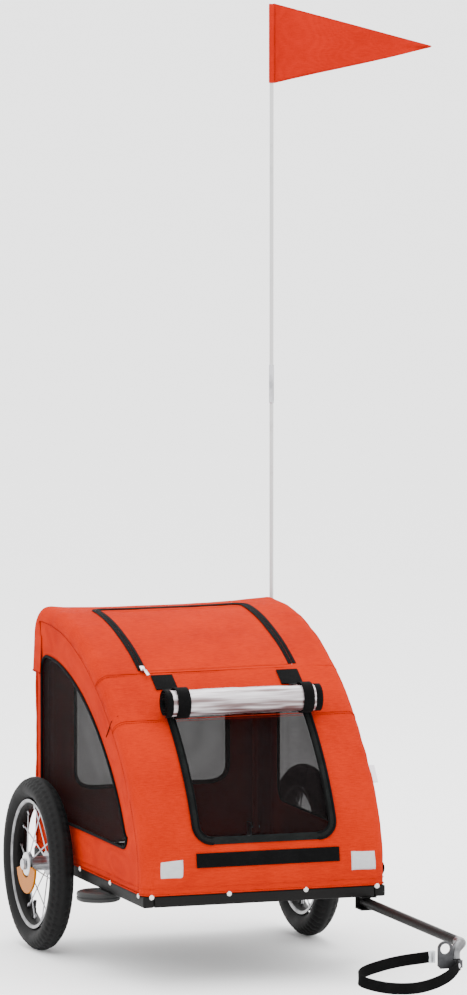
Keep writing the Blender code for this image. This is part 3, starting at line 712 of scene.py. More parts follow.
@dataclass
class Outline:
    """The cabin's side outline, from the front hem over the roof to the rear hem, by its own length."""

    half_length: float = 0.313
    half_width: float = 0.224
    hem: float = 0.1675
    nose_start: float = 0.200
    nose_rise: float = 0.160
    nose_run: float = 0.280
    roof_start: float = 0.226
    roof_height: float = 0.606
    rear_corner: float = 0.050
    points: list[Vector] = field(default_factory=list)
    lengths: list[float] = field(default_factory=list)

    def __post_init__(self) -> None:
        """Works the outline's points out from its sizes."""
        a = Vector((0, -self.half_length, self.nose_start))
        b = a + Vector((0, 0, self.nose_rise))
        d = Vector((0, self.roof_start, self.roof_height))
        c = d - Vector((0, self.nose_run, 0))
        found = [
            Vector((0, -self.half_length, self.hem + (self.nose_start - self.hem) * step / 8)) for step in range(8)
        ]
        for step in range(161):
            t = step / 160
            s = 1 - t
            found.append(a * s**3 + b * (3 * s * s * t) + c * (3 * s * t * t) + d * t**3)
        middle = Vector((0, self.half_length - self.rear_corner, self.roof_height - self.rear_corner))
        for step in range(21):
            turn = math.pi / 2 * (1 - step / 20)
            found.append(middle + Vector((0, math.cos(turn), math.sin(turn))) * self.rear_corner)
        top = middle.z
        found += [Vector((0, self.half_length, top + (self.hem - top) * step / 60)) for step in range(1, 61)]
        self.points = found
        self.lengths = [0.0]
        for before, after in zip(found, found[1:]):
            self.lengths.append(self.lengths[-1] + (after - before).length)

    @property
    def length(self) -> float:
        """The whole outline's length."""
        return self.lengths[-1]

    def _span(self, s: float) -> tuple[int, float]:
        """The stretch that holds a length, and how far along it that is."""
        s = min(max(s, 0.0), self.length - 1e-7)
        low, high = 0, len(self.lengths) - 1
        while high - low > 1:
            middle = (low + high) // 2
            if self.lengths[middle] <= s:
                low = middle
            else:
                high = middle
        reach = self.lengths[low + 1] - self.lengths[low]
        return low, (s - self.lengths[low]) / reach if reach else 0.0

    def at(self, s: float) -> Vector:
        """The point at a length along the outline."""
        number, share = self._span(s)
        return self.points[number].lerp(self.points[number + 1], share)

    def outward(self, s: float) -> Vector:
        """The outward direction at a length along the outline."""
        along = self.at(s + 0.004) - self.at(s - 0.004)
        return Vector((0, -along.z, along.y)).normalized()

    def front_at(self, height: float) -> float:
        """The length at which the nose reaches a height."""
        return self._search(lambda point: point.z < height)

    def top_at(self, y: float) -> float:
        """The length at which the nose and roof reach a y."""
        return self._search(lambda point: point.y < y)

    def _search(self, before: Callable[[Vector], bool]) -> float:
        """The first length at which a test on the point stops holding."""
        low, high = 0.033, self.lengths[8 + 160]
        for _ in range(40):
            middle = (low + high) / 2
            if before(self.at(middle)):
                low = middle
            else:
                high = middle
        return (low + high) / 2

    def side_at(self, y: float, z: float, corner: float = 0.020) -> float:
        """How far out the cloth stands at a place on the side, round the corner near the outline."""
        depth = min(math.hypot(point.y - y, point.z - z) for point in self.points)
        if depth >= corner:
            return self.half_width
        return self.half_width - corner + math.sqrt(max(0.0, corner**2 - (corner - depth) ** 2))

    def sag(self, s: float, x: float) -> float:
        """How far the roof's cloth hangs in between the ends of the bow, as a negative lift."""
        y, z = self.at(s).y, self.at(s).z
        along = min(1.0, max(0.0, (y + 0.12) / 0.22)) * min(1.0, max(0.0, (z - 0.500) / 0.080))
        return -0.0058 * along * along * (3 - 2 * along) * (1 - min(1.0, abs(x) / 0.206) ** 3)

    def on(self, s: float, x: float, lift: float = 0.0) -> Vector:
        """A point on the front, roof or rear, moved outwards by lift."""
        found = self.at(s) + self.outward(s) * (lift + self.sag(s, x))
        return Vector((x, found.y, found.z))


def wrinkle(x: float, s: float) -> float:
    """How far the cover's cloth stands off its smooth shape, in metres."""
    slack = 0.0016 * noise.noise(Vector((x * 7.0, s * 5.0, 2.5)))
    ripple = 0.0009 * noise.noise(Vector((x * 22.0, s * 9.0, 7.0)))
    edge = 0.0012 * noise.noise(Vector((x * 6.0, s * 34.0, 4.0))) * min(1.0, abs(x) / 0.2) ** 3
    return slack + ripple + edge


def rounded_loop(
    x_half: float, low: float, high: float, corner: float, top_corner: float, middle: float = 0.0,
) -> list[tuple[float, float]]:
    """A closed (x, s) loop with round corners: from the lower left, anticlockwise."""
    found = []
    corners = (
        (middle - x_half, low, corner, 180), (middle + x_half, low, corner, 270),
        (middle + x_half, high, top_corner, 0), (middle - x_half, high, top_corner, 90),
    )
    for x, s, radius, first in corners:
        centre_x = x + (radius if x < middle else -radius)
        centre_s = s + (radius if s == low else -radius)
        for step in range(9):
            turn = math.radians(first + 90 * step / 8)
            found.append((centre_x + radius * math.cos(turn), centre_s + radius * math.sin(turn)))
    return found


def dense(loop: Sequence[tuple[float, float]], pitch: float = 0.006) -> list[tuple[float, float]]:
    """A closed loop with points no further apart than a pitch."""
    found = []
    for (x0, s0), (x1, s1) in zip(loop, list(loop[1:]) + [loop[0]]):
        reach = math.hypot(x1 - x0, s1 - s0)
        steps = max(1, math.ceil(reach / pitch))
        found += [
            (x0 + (x1 - x0) * step / steps, s0 + (s1 - s0) * step / steps) for step in range(steps) if reach > 1e-7
        ]
    return found


def inside(loop: Sequence[tuple[float, float]], x: float, s: float) -> bool:
    """Whether a point lies in a closed loop."""
    held = False
    for (x0, s0), (x1, s1) in zip(loop, list(loop[1:]) + [loop[0]]):
        if (s0 > s) != (s1 > s) and x < x0 + (s - s0) / (s1 - s0) * (x1 - x0):
            held = not held
    return held


# ---------------------------------------------------------------- sub-assemblies


@dataclass
class Cover:
    """The cabin's cloth: one sheet over nose, roof and rear, two side panels and the nets.

    A window is (middle, half width, foot) or (half width, foot, top), and the hatch is (half width, front, rear).
    The nets end a tuck inside their openings, and the seams' places are a depth, a height and a length from the rear.
    """

    shop: Workshop
    outline: Outline
    corner: float = 0.020
    lap: float = 0.005
    cloth: float = 0.0012
    front_window: tuple[float, float, float] = (0.0045, 0.1325, 0.2525)
    front_window_top: float = 0.480
    rear_window: tuple[float, float, float] = (0.154, 0.260, 0.497)
    tape: float = 0.0090
    hatch: tuple[float, float, float] = (0.140, -0.056, 0.225)
    tuck: float = 0.006
    hood_seam: float = -0.060
    brow_seam: float = 0.455
    rear_seam: float = 0.36
    side_flat: tuple[float, float] = (0.62, 0.44)
    net_flat: tuple[float, float] = (0.47, 0.285)

    def front_loop(self, grow: float = 0.0) -> list[tuple[float, float]]:
        """The front window's edge in (x, s), grown outwards."""
        middle, half, low = self.front_window
        bottom = self.outline.front_at(low)
        top = self.outline.front_at(self.front_window_top)
        return rounded_loop(half + grow, bottom - grow, top + grow, 0.034 + grow, 0.016 + grow, middle)

    def rear_loop(self, grow: float = 0.0) -> list[tuple[float, float]]:
        """The rear window's edge in (x, s), grown outwards."""
        half, low, high = self.rear_window
        end = self.outline.length + self.outline.hem
        return rounded_loop(half + grow, end - high - grow, end - low + grow, 0.038 + grow, 0.038 + grow)

    def hatch_loop(self) -> list[tuple[float, float]]:
        """The roof opening's edge in (x, s)."""
        half, front, rear = self.hatch
        return rounded_loop(half, self.outline.top_at(front), self.outline.top_at(rear), 0.001, 0.022)

    def columns(self) -> list[tuple[float, float, float]]:
        """Each column of the sheet as its x, how far inside the outline it lies, and its lean to the side."""
        flat = self.outline.half_width - self.corner
        found = [(-flat + 2 * flat * step / 64, 0.0, 0.0) for step in range(65)]
        for sign in (-1, 1):
            bend = []
            for step in range(1, 9):
                turn = math.pi / 2 * step / 8
                x = sign * (flat + self.corner * math.sin(turn))
                bend.append((x, self.corner * (1 - math.cos(turn)), sign * math.sin(turn)))
            bend += [
                (sign * self.outline.half_width, self.corner + self.lap * step / 2, float(sign)) for step in (1, 2)
            ]
            found = bend[::-1] + found if sign < 0 else found + bend
        return found

    def shell(self) -> None:
        """The sheet over nose, roof and rear, open at the windows and the hatch."""
        out, steps = self.outline, 310
        columns = self.columns()
        holes = [self.front_loop(-self.tape), self.rear_loop(-self.tape), self.hatch_loop()]
        points, faces = [], []
        for row in range(steps + 1):
            s = out.length * row / steps
            middle, normal = out.at(s), out.outward(s)
            near_hem = min(1.0, min(s, out.length - s) / 0.03)
            for x, inset, lean in columns:
                lift = wrinkle(x, s) * near_hem + 0.0008 + out.sag(s, x)
                upright = math.sqrt(max(0.0, 1 - lean * lean))
                place = middle - normal * inset + normal * lift * upright
                points.append(Vector((x + lean * lift, place.y, max(place.z, out.hem))))
        width = len(columns)
        for row in range(steps):
            s = out.length * (row + 0.5) / steps
            for column in range(width - 1):
                x = (columns[column][0] + columns[column + 1][0]) / 2
                if any(inside(hole, x, s) for hole in holes):
                    continue
                first = row * width + column
                faces.append((first, first + 1, first + width + 1, first + width))
        made = self.shop.piece(
            "cover_shell", points, faces, self.shop.finishes.cover, Body.CABIN, "cover_orange",
            replaces=("front_panel", "roof_panel", "rear_panel"), wall=self.cloth,
        )
        whole = (2 * out.half_width + 2 * (self.corner + self.lap), out.length)
        open_area = 0.245 * 0.26 + 0.284 * 0.213 + 0.28 * 0.30
        whole[0] * whole[1] - open_area - 0.03

    def side_shape(self, inset: float) -> list[tuple[float, float]]:
        """The side panel's edge in (y, z), a distance inside the outline."""
        out = self.outline
        found = []
        for step in range(0, 181):
            s = out.length * step / 180
            place = out.at(s) - out.outward(s) * inset
            found.append((min(max(place.y, inset - out.half_length), out.half_length - inset), max(place.z, out.hem)))
        return found[::-1]

    def side_window(self, grow: float = 0.0) -> list[tuple[float, float]]:
        """The side window's edge in (y, z), grown outwards."""
        out = self.outline
        margin, low, rear, corner = 0.085 - grow, 0.239 - grow, 0.262 + grow, 0.030 + grow
        found = []

        def bend(y: float, z: float, radius: float, first: float, last: float) -> None:
            """Adds a round corner."""
            for step in range(7):
                turn = math.radians(first + (last - first) * step / 6)
                found.append((y + radius * math.cos(turn), z + radius * math.sin(turn)))

        start = out.front_at(0.272)
        nose = out.at(start) - out.outward(start) * margin
        end = out.top_at(out.roof_start)
        bend(rear - corner, low + corner, corner, 0, -90)
        bend(nose.y + 0.022, low + 0.022 + grow, 0.022 + grow, -90, -180)
        for step in range(41):
            s = start + (end - start) * step / 40
            place = out.at(s) - out.outward(s) * margin
            found.append((place.y, max(place.z, low + 0.02)))
        top = out.roof_height - margin
        bend(rear - corner, top - corner, corner, 90, 0)
        return found

    def side_panel(self, side: Side) -> None:
        """One side panel with its window, drawn as rings between the two edges."""
        sign, out = side.value, self.outline
        centre = (0.09, 0.37)
        rays = sorted(
            {round(2 * math.pi * step / 220, 6) for step in range(220)}
            | {round(math.atan2(z - centre[1], y - centre[0]) % (2 * math.pi), 6) for y, z in self.corners()}
        )
        outer, inner = self.side_shape(self.corner - 0.002), self.side_window()
        rings = 10
        points, faces = [], []
        for ray in rays:
            near, far = cast(inner, centre, ray), cast(outer, centre, ray)
            for ring in range(rings + 1):
                share = ring / rings
                y, z = near[0] + (far[0] - near[0]) * share, near[1] + (far[1] - near[1]) * share
                puff = 4 * share * (1 - share)
                rough = (
                    noise.noise(Vector((y * 9, z * 9, 3.0 * sign))) * 0.0020
                    + noise.noise(Vector((y * 26, z * 26, sign))) * 0.0008
                )
                points.append(Vector((sign * (out.half_width - 0.0012 + puff * (0.0016 + rough)), y, z)))
        for number in range(len(rays)):
            low, high = number * (rings + 1), ((number + 1) % len(rays)) * (rings + 1)
            for ring in range(rings):
                face = (low + ring, low + ring + 1, high + ring + 1, high + ring)
                faces.append(face if sign > 0 else face[::-1])
        made = self.shop.piece(
            f"side_cloth_{side.tag}", points, faces, self.shop.finishes.cover, Body.CABIN, "cover_orange",
            replaces=(f"side_panel_{side.tag}",), wall=self.cloth,
        )
        area_of(outer) - area_of(inner)

    def corners(self) -> list[tuple[float, float]]:
        """The side panel's two hem corners in (y, z)."""
        inset = self.corner - 0.002
        reach = self.outline.half_length - inset
        return [(-reach, self.outline.hem), (reach, self.outline.hem)]

    def side_net(self, side: Side) -> None:
        """The net in a side window, held back a little and slack in the middle."""
        sign = side.value
        loop = self.side_window(0.001)
        centre = (0.09, 0.37)
        rays = [2 * math.pi * step / 120 for step in range(120)]
        points, faces = [Vector((sign * (self.outline.half_width - 0.0075), *centre))], []
        for ring in range(1, 11):
            share = ring / 10
            for ray in rays:
                y, z = cast(loop, centre, ray)
                depth = 0.0030 + 0.0045 * (1 - share**2)
                points.append(
                    Vector(
                        (
                            sign * (self.outline.half_width - depth), centre[0] + (y - centre[0]) * share,
                            centre[1] + (z - centre[1]) * share,
                        )
                    )
                )
        size = len(rays)
        for number in range(size):
            after = (number + 1) % size
            faces.append((0, 1 + number, 1 + after))
            for ring in range(9):
                low, high = 1 + ring * size, 1 + (ring + 1) * size
                faces.append((low + number, high + number, high + after, low + after))
        made = self.shop.piece(
            f"side_net_{side.tag}", points, faces, self.shop.finishes.net, Body.CABIN, "mesh_black",
            replaces=(f"side_window_{side.tag}",),
        )
        area_of(loop)

    def piping(self) -> None:
        """Black piping round each side window."""
        for side in Side:
            edge = dense(self.side_window(0.0008))
            path = [Vector((side.value * (self.outline.half_width + 0.0002), y, z)) for y, z in edge]
            self.shop.cord(
                f"side_piping_{side.tag}", path, 0.0026, self.shop.finishes.tape, Body.CABIN, "webbing",
                closed=True,
            )

    def nets(self) -> None:
        """The front and rear nets, stretched behind their openings."""
        for name, loop, node in (
            ("front", self.front_loop(-self.tuck), "front_window"),
            ("rear", self.rear_loop(-self.tuck), "rear_window"),
        ):
            xs, lengths = [x for x, _ in loop], [s for _, s in loop]
            low, high = min(lengths), max(lengths)
            rows = []
            for row in range(41):
                s = low + (high - low) * row / 40
                inner = self.span(loop, s)
                slack = 0.0035 * math.sin(math.pi * row / 40)
                rows.append(
                    [
                        self.outline.on(
                            s, inner[0] + (inner[1] - inner[0]) * step / 30,
                            -0.0022 - slack * math.sin(math.pi * step / 30),
                        )
                        for step in range(31)
                    ]
                )
            made = self.shop.grid(
                f"{name}_net", rows, self.shop.finishes.net, Body.CABIN, "mesh_black", replaces=(node,),
            )
            flat = (max(xs) - min(xs), high - low)
            area_of(loop)

    def span(self, loop: Sequence[tuple[float, float]], s: float) -> tuple[float, float]:
        """The lowest and highest x of a loop at one length."""
        low, high = min(v for _, v in loop), max(v for _, v in loop)
        s = min(max(s, low + 1e-5), high - 1e-5)
        found = []
        for (x0, s0), (x1, s1) in zip(loop, list(loop[1:]) + [loop[0]]):
            if (s0 > s) != (s1 > s):
                found.append(x0 + (s - s0) / (s1 - s0) * (x1 - x0))
        return min(found), max(found)

    def frames(self) -> None:
        """The window frames: a tape with piping along both of its edges."""
        for name, loop in (("front", self.front_loop), ("rear", self.rear_loop)):
            edge = dense(loop(-0.0062))
            path = [self.outline.on(s, x, 0.0024) for x, s in edge]
            lifts = [self.outline.outward(s) for _, s in edge]
            self.shop.band(
                f"{name}_window_tape", path, lifts, 0.0135, 0.0012, self.shop.finishes.grey_tape, Body.CABIN,
                "webbing", closed=True,
            )
            for word, grow in (("outer", -0.0012), ("inner", -0.0118)):
                line = [self.outline.on(s, x, 0.0030) for x, s in dense(loop(grow))]
                self.shop.cord(
                    f"{name}_window_{word}_piping", line, 0.0027 if word == "outer" else 0.0019,
                    self.shop.finishes.tape, Body.CABIN, "webbing", closed=True,
                )

    def seams(self) -> None:
        """The cover's cross seams, each a turned edge with its stitches."""
        out = self.outline
        for name, s in (
            ("hood", out.top_at(self.hood_seam)), ("brow", out.front_at(self.brow_seam)),
            ("rear", out.length - self.rear_seam),
        ):
            path, lifts = [], []
            for x, inset, lean in self.columns():
                middle, normal = out.at(s), out.outward(s)
                place = (
                    middle - normal * inset
                    + normal * ((0.0012 + out.sag(s, x)) * math.sqrt(max(0.0, 1 - lean * lean)))
                )
                path.append(Vector((x + lean * 0.0012, place.y, place.z)))
                lifts.append(Vector((lean, normal.y * (1 - abs(lean)), normal.z * (1 - abs(lean)))).normalized())
            self.shop.cord(
                f"{name}_seam", path, 0.0007, self.shop.finishes.cover, Body.CABIN, "cover_orange", sides=6,
                up=Vector((0, 0.3, 1)),
            )
            drop = Vector((0, -0.0035, -0.0035))
            self.shop.stitches(
                f"{name}_stitches", [spot + drop for spot in path], lifts, self.shop.finishes.seam, Body.CABIN,
                "cover_orange",
            )

    def side_seams(self) -> None:
        """The seam where the side panel meets the wrapped edge of the shell."""
        for side in Side:
            edge = self.side_shape(self.corner + self.lap)
            path = [Vector((side.value * (self.outline.half_width + 0.0012), y, z)) for y, z in edge]
            lifts = [Vector((side.value, 0, 0))] * len(path)
            self.shop.stitches(
                f"side_stitches_{side.tag}", path, lifts, self.shop.finishes.seam, Body.CABIN, "cover_orange",
            )

    def hem(self) -> None:
        """A turned hem along the foot of the cover, all the way round."""
        out = self.outline
        reach, across, round_by = out.half_length + 0.0012, out.half_width + 0.0012, 0.018
        loop = dense(rounded_loop(across, -reach, reach, round_by, round_by))
        for name, z, radius in (("lower", out.hem + 0.0016, 0.0010), ("upper", out.hem + 0.0125, 0.0005)):
            path = [Vector((x, y, z)) for x, y in loop]
            self.shop.cord(
                f"{name}_hem", path, radius, self.shop.finishes.cover, Body.CABIN, "cover_orange", sides=6,
                up=Vector((0, 0, 1)), closed=True,
            )

    def build(self) -> None:
        """Makes the whole cover."""
        self.shell()
        for side in Side:
            self.side_panel(side)
            self.side_net(side)
        self.piping()
        self.nets()
        self.frames()
        self.seams()
        self.side_seams()
        self.hem()


def cast(loop: Sequence[tuple[float, float]], centre: tuple[float, float], ray: float) -> tuple[float, float]:
    """Where a ray from the centre leaves a closed loop."""
    dy, dz = math.cos(ray), math.sin(ray)
    best = 0.0
    for (y0, z0), (y1, z1) in zip(loop, list(loop[1:]) + [loop[0]]):
        ey, ez = y1 - y0, z1 - z0
        cross = dy * ez - dz * ey
        if abs(cross) < 1e-12:
            continue
        reach = ((y0 - centre[0]) * ez - (z0 - centre[1]) * ey) / cross
        share = ((y0 - centre[0]) * dz - (z0 - centre[1]) * dy) / cross
        if reach > best and -1e-6 <= share <= 1 + 1e-6:
            best = reach
    return centre[0] + dy * best, centre[1] + dz * best


def area_of(loop: Sequence[tuple[float, float]]) -> float:
    """The area that a closed loop holds."""
    return abs(sum(a * d - c * b for (a, b), (c, d) in zip(loop, list(loop[1:]) + [loop[0]]))) / 2


@dataclass
class Hatch:
    """The roof flap, its zip and the hood's rear lap. Lengths are in metres.

    The slit is the gap round the flap, and the fold is a length past the hinge seam, which gives the second of the
    seam's two points.
    """

    shop: Workshop
    cover: Cover
    slit: float = 0.0012
    fold: float = 0.030
    lap_start: float = 0.055
    lap_end: float = 0.320
    lap_width: float = 0.58
    tape: float = 0.0065

    def path(self, grow: float) -> list[tuple[float, float]]:
        """The zip's line in (x, s): up one side, across the rear and down the other."""
        half, front, rear = self.cover.hatch
        out = self.cover.outline
        low, high = out.top_at(front) + 0.003, out.top_at(rear) + grow
        corner = 0.022 + grow
        wide = half + grow
        found = [(-wide, low + (high - corner - low) * step / 40) for step in range(41)]
        found += [
            (
                -wide + corner - corner * math.cos(math.pi / 2 * step / 8),
                high - corner + corner * math.sin(math.pi / 2 * step / 8),
            )
            for step in range(1, 9)
        ]
        found += [(-wide + corner + 2 * (wide - corner) * step / 40, high) for step in range(1, 40)]
        return found + [(-x, s) for x, s in reversed(found[:49])]

    def seam(self) -> tuple[Vector, Vector]:
        """Two points at the flap's hinge seam: at the seam, and a fold's length past it."""
        out = self.cover.outline
        low = out.top_at(self.cover.hatch[1]) + self.slit
        return out.on(low, 0.0, 0.0), out.on(low + self.fold, 0.0, 0.0)

    def flap(self) -> None:
        """The flap's cloth, baked in place at its hinge seam."""
        half, front, rear = self.cover.hatch
        out = self.cover.outline
        low, high = out.top_at(front) + self.slit, out.top_at(rear) - self.slit
        loop = rounded_loop(half - self.slit, low, high, 0.001, 0.022)
        rows = []
        for row in range(61):
            s = low + (high - low) * row / 60
            left, right = self.cover.span(loop, s)
            places = [left + (right - left) * step / 40 for step in range(41)]
            rows.append([out.on(s, x, wrinkle(x, s) + 0.0008) for x in places])
        made = self.shop.grid(
            "roof_flap_cloth", rows, self.shop.finishes.cover, Body.FLAP, "cover_orange", replaces=("roof_flap",),
            wall=0.0012, bend=self.seam(),
        )
        2 * (half - self.slit)
        high - low

    def zips(self) -> None:
        """Two runs of zip tape with a row of teeth on each: the opening's and the flap's."""
        out = self.cover.outline
        runs = (("opening", self.tape / 2 + 0.0012, Body.CABIN), ("flap", -self.tape / 2 - 0.0012, Body.FLAP))
        for name, grow, body in runs:
            crossing = {"bend": self.seam()} if body is Body.FLAP else {}
            line = self.path(grow)
            places = [out.on(s, x, 0.0014) for x, s in line]
            lifts = [out.outward(s) for _, s in line]
            self.shop.band(
                f"{name}_zip_tape", places, lifts, self.tape, 0.0010, self.shop.finishes.tape, body, "webbing",
                **crossing,
            )
            inner = self.path(math.copysign(0.0009, grow))
            teeth = [out.on(s, x, 0.0020) for x, s in inner]
            self.shop.stitches(
                f"{name}_zip_teeth", teeth, [out.outward(s) for _, s in inner], self.shop.finishes.powder, body,
                "webbing", length=0.0014, pitch=0.0026, thick=0.0008, **crossing,
            )

    def slider(self) -> None:
        """The zip slider with its pull, at the foot of the right-hand run."""
        out = self.cover.outline
        half = self.cover.hatch[0]
        side = Side.RIGHT
        s = out.top_at(self.cover.hatch[1]) + 0.004
        x = side.value * half
        place, up = out.on(s, x, 0.0050), out.outward(s)
        along = (out.at(s + 0.01) - out.at(s)).normalized()
        turn = Matrix((Vector((1, 0, 0)), along, up)).transposed().to_4x4()
        size = Vector((0.0045, 0.0065, 0.0022))
        self.shop.rounded(
            f"zip_body_{side.tag}", place - size, place + size, 0.0012, self.shop.finishes.zinc, Body.CABIN, "zinc",
            turn=turn, replaces=("zip_slider",),
        )
        start = place + up * 0.0026 - along * 0.003
        end = start - along * 0.021 + Vector((0.004 * -side.value, 0, 0))
        mid = start.lerp(end, 0.35) + up * 0.0015
        for word, a, b, wide in (("loop", start, mid, 0.0035), ("pull", mid, end, 0.0060)):
            steps = [a.lerp(b, step / 8) for step in range(9)]
            self.shop.band(
                f"zip_{word}_{side.tag}", steps, [up] * 9, wide, 0.0014, self.shop.finishes.zinc, Body.CABIN, "zinc",
            )

    def rear_lap(self) -> None:
        """The hood's rear lap: a second layer that hangs over the rear edge and round both corners."""
        out, cover = self.cover.outline, self.cover
        start, end = out.top_at(out.roof_start) + self.lap_start, out.length - self.lap_end
        rows = []
        for row in range(25):
            s = start + (end - start) * row / 24
            middle, normal = out.at(s), out.outward(s)
            share = row / 24
            hang = 0.0022 + 0.0065 * share**1.5
            line = []
            for x, inset, lean in cover.columns():
                lift = hang + out.sag(s, x)
                deep = inset + (0.030 * (abs(lean) == 1.0) * (inset > cover.corner))
                upright = math.sqrt(max(0.0, 1 - lean * lean))
                ripple = 0.0012 * noise.noise(Vector((x * 12, s * 6, 11.0)))
                place = middle - normal * deep + normal * (lift + ripple) * upright
                line.append(Vector((x + lean * (lift * 0.6), place.y, place.z)))
            rows.append(line)
        made = self.shop.grid(
            "hood_rear_lap", rows, self.shop.finishes.cover, Body.CABIN, "cover_orange", wall=0.0011,
        )
        end - start
        low = [spot + Vector((0, 0, 0.001)) for spot in rows[-1]]
        self.shop.cord(
            "hood_rear_hem", low, 0.0013, self.shop.finishes.seam, Body.CABIN, "cover_orange", sides=6,
            up=Vector((0, 0, 1)),
        )

    def build(self) -> None:
        """Makes the hatch."""
        self.flap()
        self.zips()
        self.slider()
        self.rear_lap()


@dataclass
class RainRoll:
    """The rolled rain cover with its two straps, and the tabs that hold them."""

    shop: Workshop
    outline: Outline
    radius: float = 0.0250
    core: float = 0.0085
    turns: float = 3.6
    straps: tuple[tuple[Side, float, float, float], ...] = (
        (Side.RIGHT, -0.107, 0.024, -0.1095), (Side.LEFT, 0.1245, 0.020, 0.124),
    )

    def __post_init__(self) -> None:
        """Reads the roll's place from the frame."""
        low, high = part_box("rain_cover_roll")
        self.centre = (low + high) / 2 - MIDDLE
        self.half = (high.x - low.x) / 2

    def roll(self) -> None:
        """The film, wound up, with its bound ends."""
        around, along = 150, 72
        rows = []
        for row in range(along + 1):
            x = -self.half + 2 * self.half * row / along
            bound = 1.0 if abs(x) > self.half - 0.011 else 0.0
            line = []
            for step in range(around + 1):
                share = step / around
                turn = 2 * math.pi * self.turns * share + 0.6
                reach = self.core + (self.radius - self.core) * share
                crumple = 0.0016 * noise.noise(
                    Vector((x * 16, math.cos(turn) * 2.2, math.sin(turn) * 2.2 + share * 9))
                )
                crumple += 0.0008 * noise.noise(Vector((x * 40, math.cos(turn) * 5, math.sin(turn) * 5)))
                reach += crumple * (1 - bound) + 0.0006 * bound
                line.append(
                    Vector(
                        (
                            x + self.centre.x, self.centre.y + reach * math.cos(turn),
                            self.centre.z + reach * math.sin(turn),
                        )
                    )
                )
            rows.append(line)
        made = self.shop.grid(
            "rain_film", rows, self.shop.finishes.film, Body.CABIN, "clear_film", replaces=(
                "rain_cover_roll",
            ), wall=0.0007,
        )
        made.data.materials.append(self.shop.finishes.tape)
        for face in made.data.polygons:
            if abs(face.center.x - MIDDLE.x - self.centre.x) > self.half - 0.0105:
                face.material_index = 1

    def strap(self, side: Side, x: float, width: float, tab_x: float) -> None:
        """One strap round the roll, its tail up to the tab, and the tab."""
        finish, out = self.shop.finishes.tape, self.outline
        ring = []
        for step in range(48):
            turn = 2 * math.pi * step / 48
            ring.append(
                Vector(
                    (
                        x, self.centre.y + (self.radius + 0.0014) * math.cos(turn),
                        self.centre.z + (self.radius + 0.0014) * math.sin(turn),
                    )
                )
            )
        lifts = [(spot - Vector((x, self.centre.y, self.centre.z))).normalized() for spot in ring]
        self.shop.band(
            f"roll_band_{side.tag}", ring, lifts, width, 0.0014, finish, Body.CABIN, "webbing", closed=True,
            replaces=(f"roll_strap_{side.tag}",),
        )
        top, low = out.front_at(0.5195), out.front_at(0.4990)
        behind = self.centre + Vector((0, 0.010, self.radius * 0.72))
        steps = [out.on(low, tab_x, 0.0016)]
        steps += [
            Vector((tab_x + (x - tab_x) * share, 0, 0)) + Vector((0, behind.y, behind.z)).lerp(
                Vector((0, steps[0].y, steps[0].z)), 1 - share,
            )
            for share in (0.33, 0.66, 1.0)
        ]
        lean = out.outward(low)
        self.shop.band(f"roll_tail_{side.tag}", steps, [lean] * 4, width * 0.8, 0.0014, finish, Body.CABIN, "webbing")
        line = [low + (top - low) * step / 8 for step in range(9)]
        self.shop.band(
            f"strap_tab_{side.tag}", [out.on(s, tab_x, 0.0018) for s in line], [out.outward(s) for s in line],
            0.040, 0.0018, finish, Body.CABIN, "webbing", replaces=(f"cover_tab_{side.tag}",),
        )

    def build(self) -> None:
        """Makes the roll and its straps."""
        self.roll()
        for side, x, width, tab_x in self.straps:
            self.strap(side, x, width, tab_x)


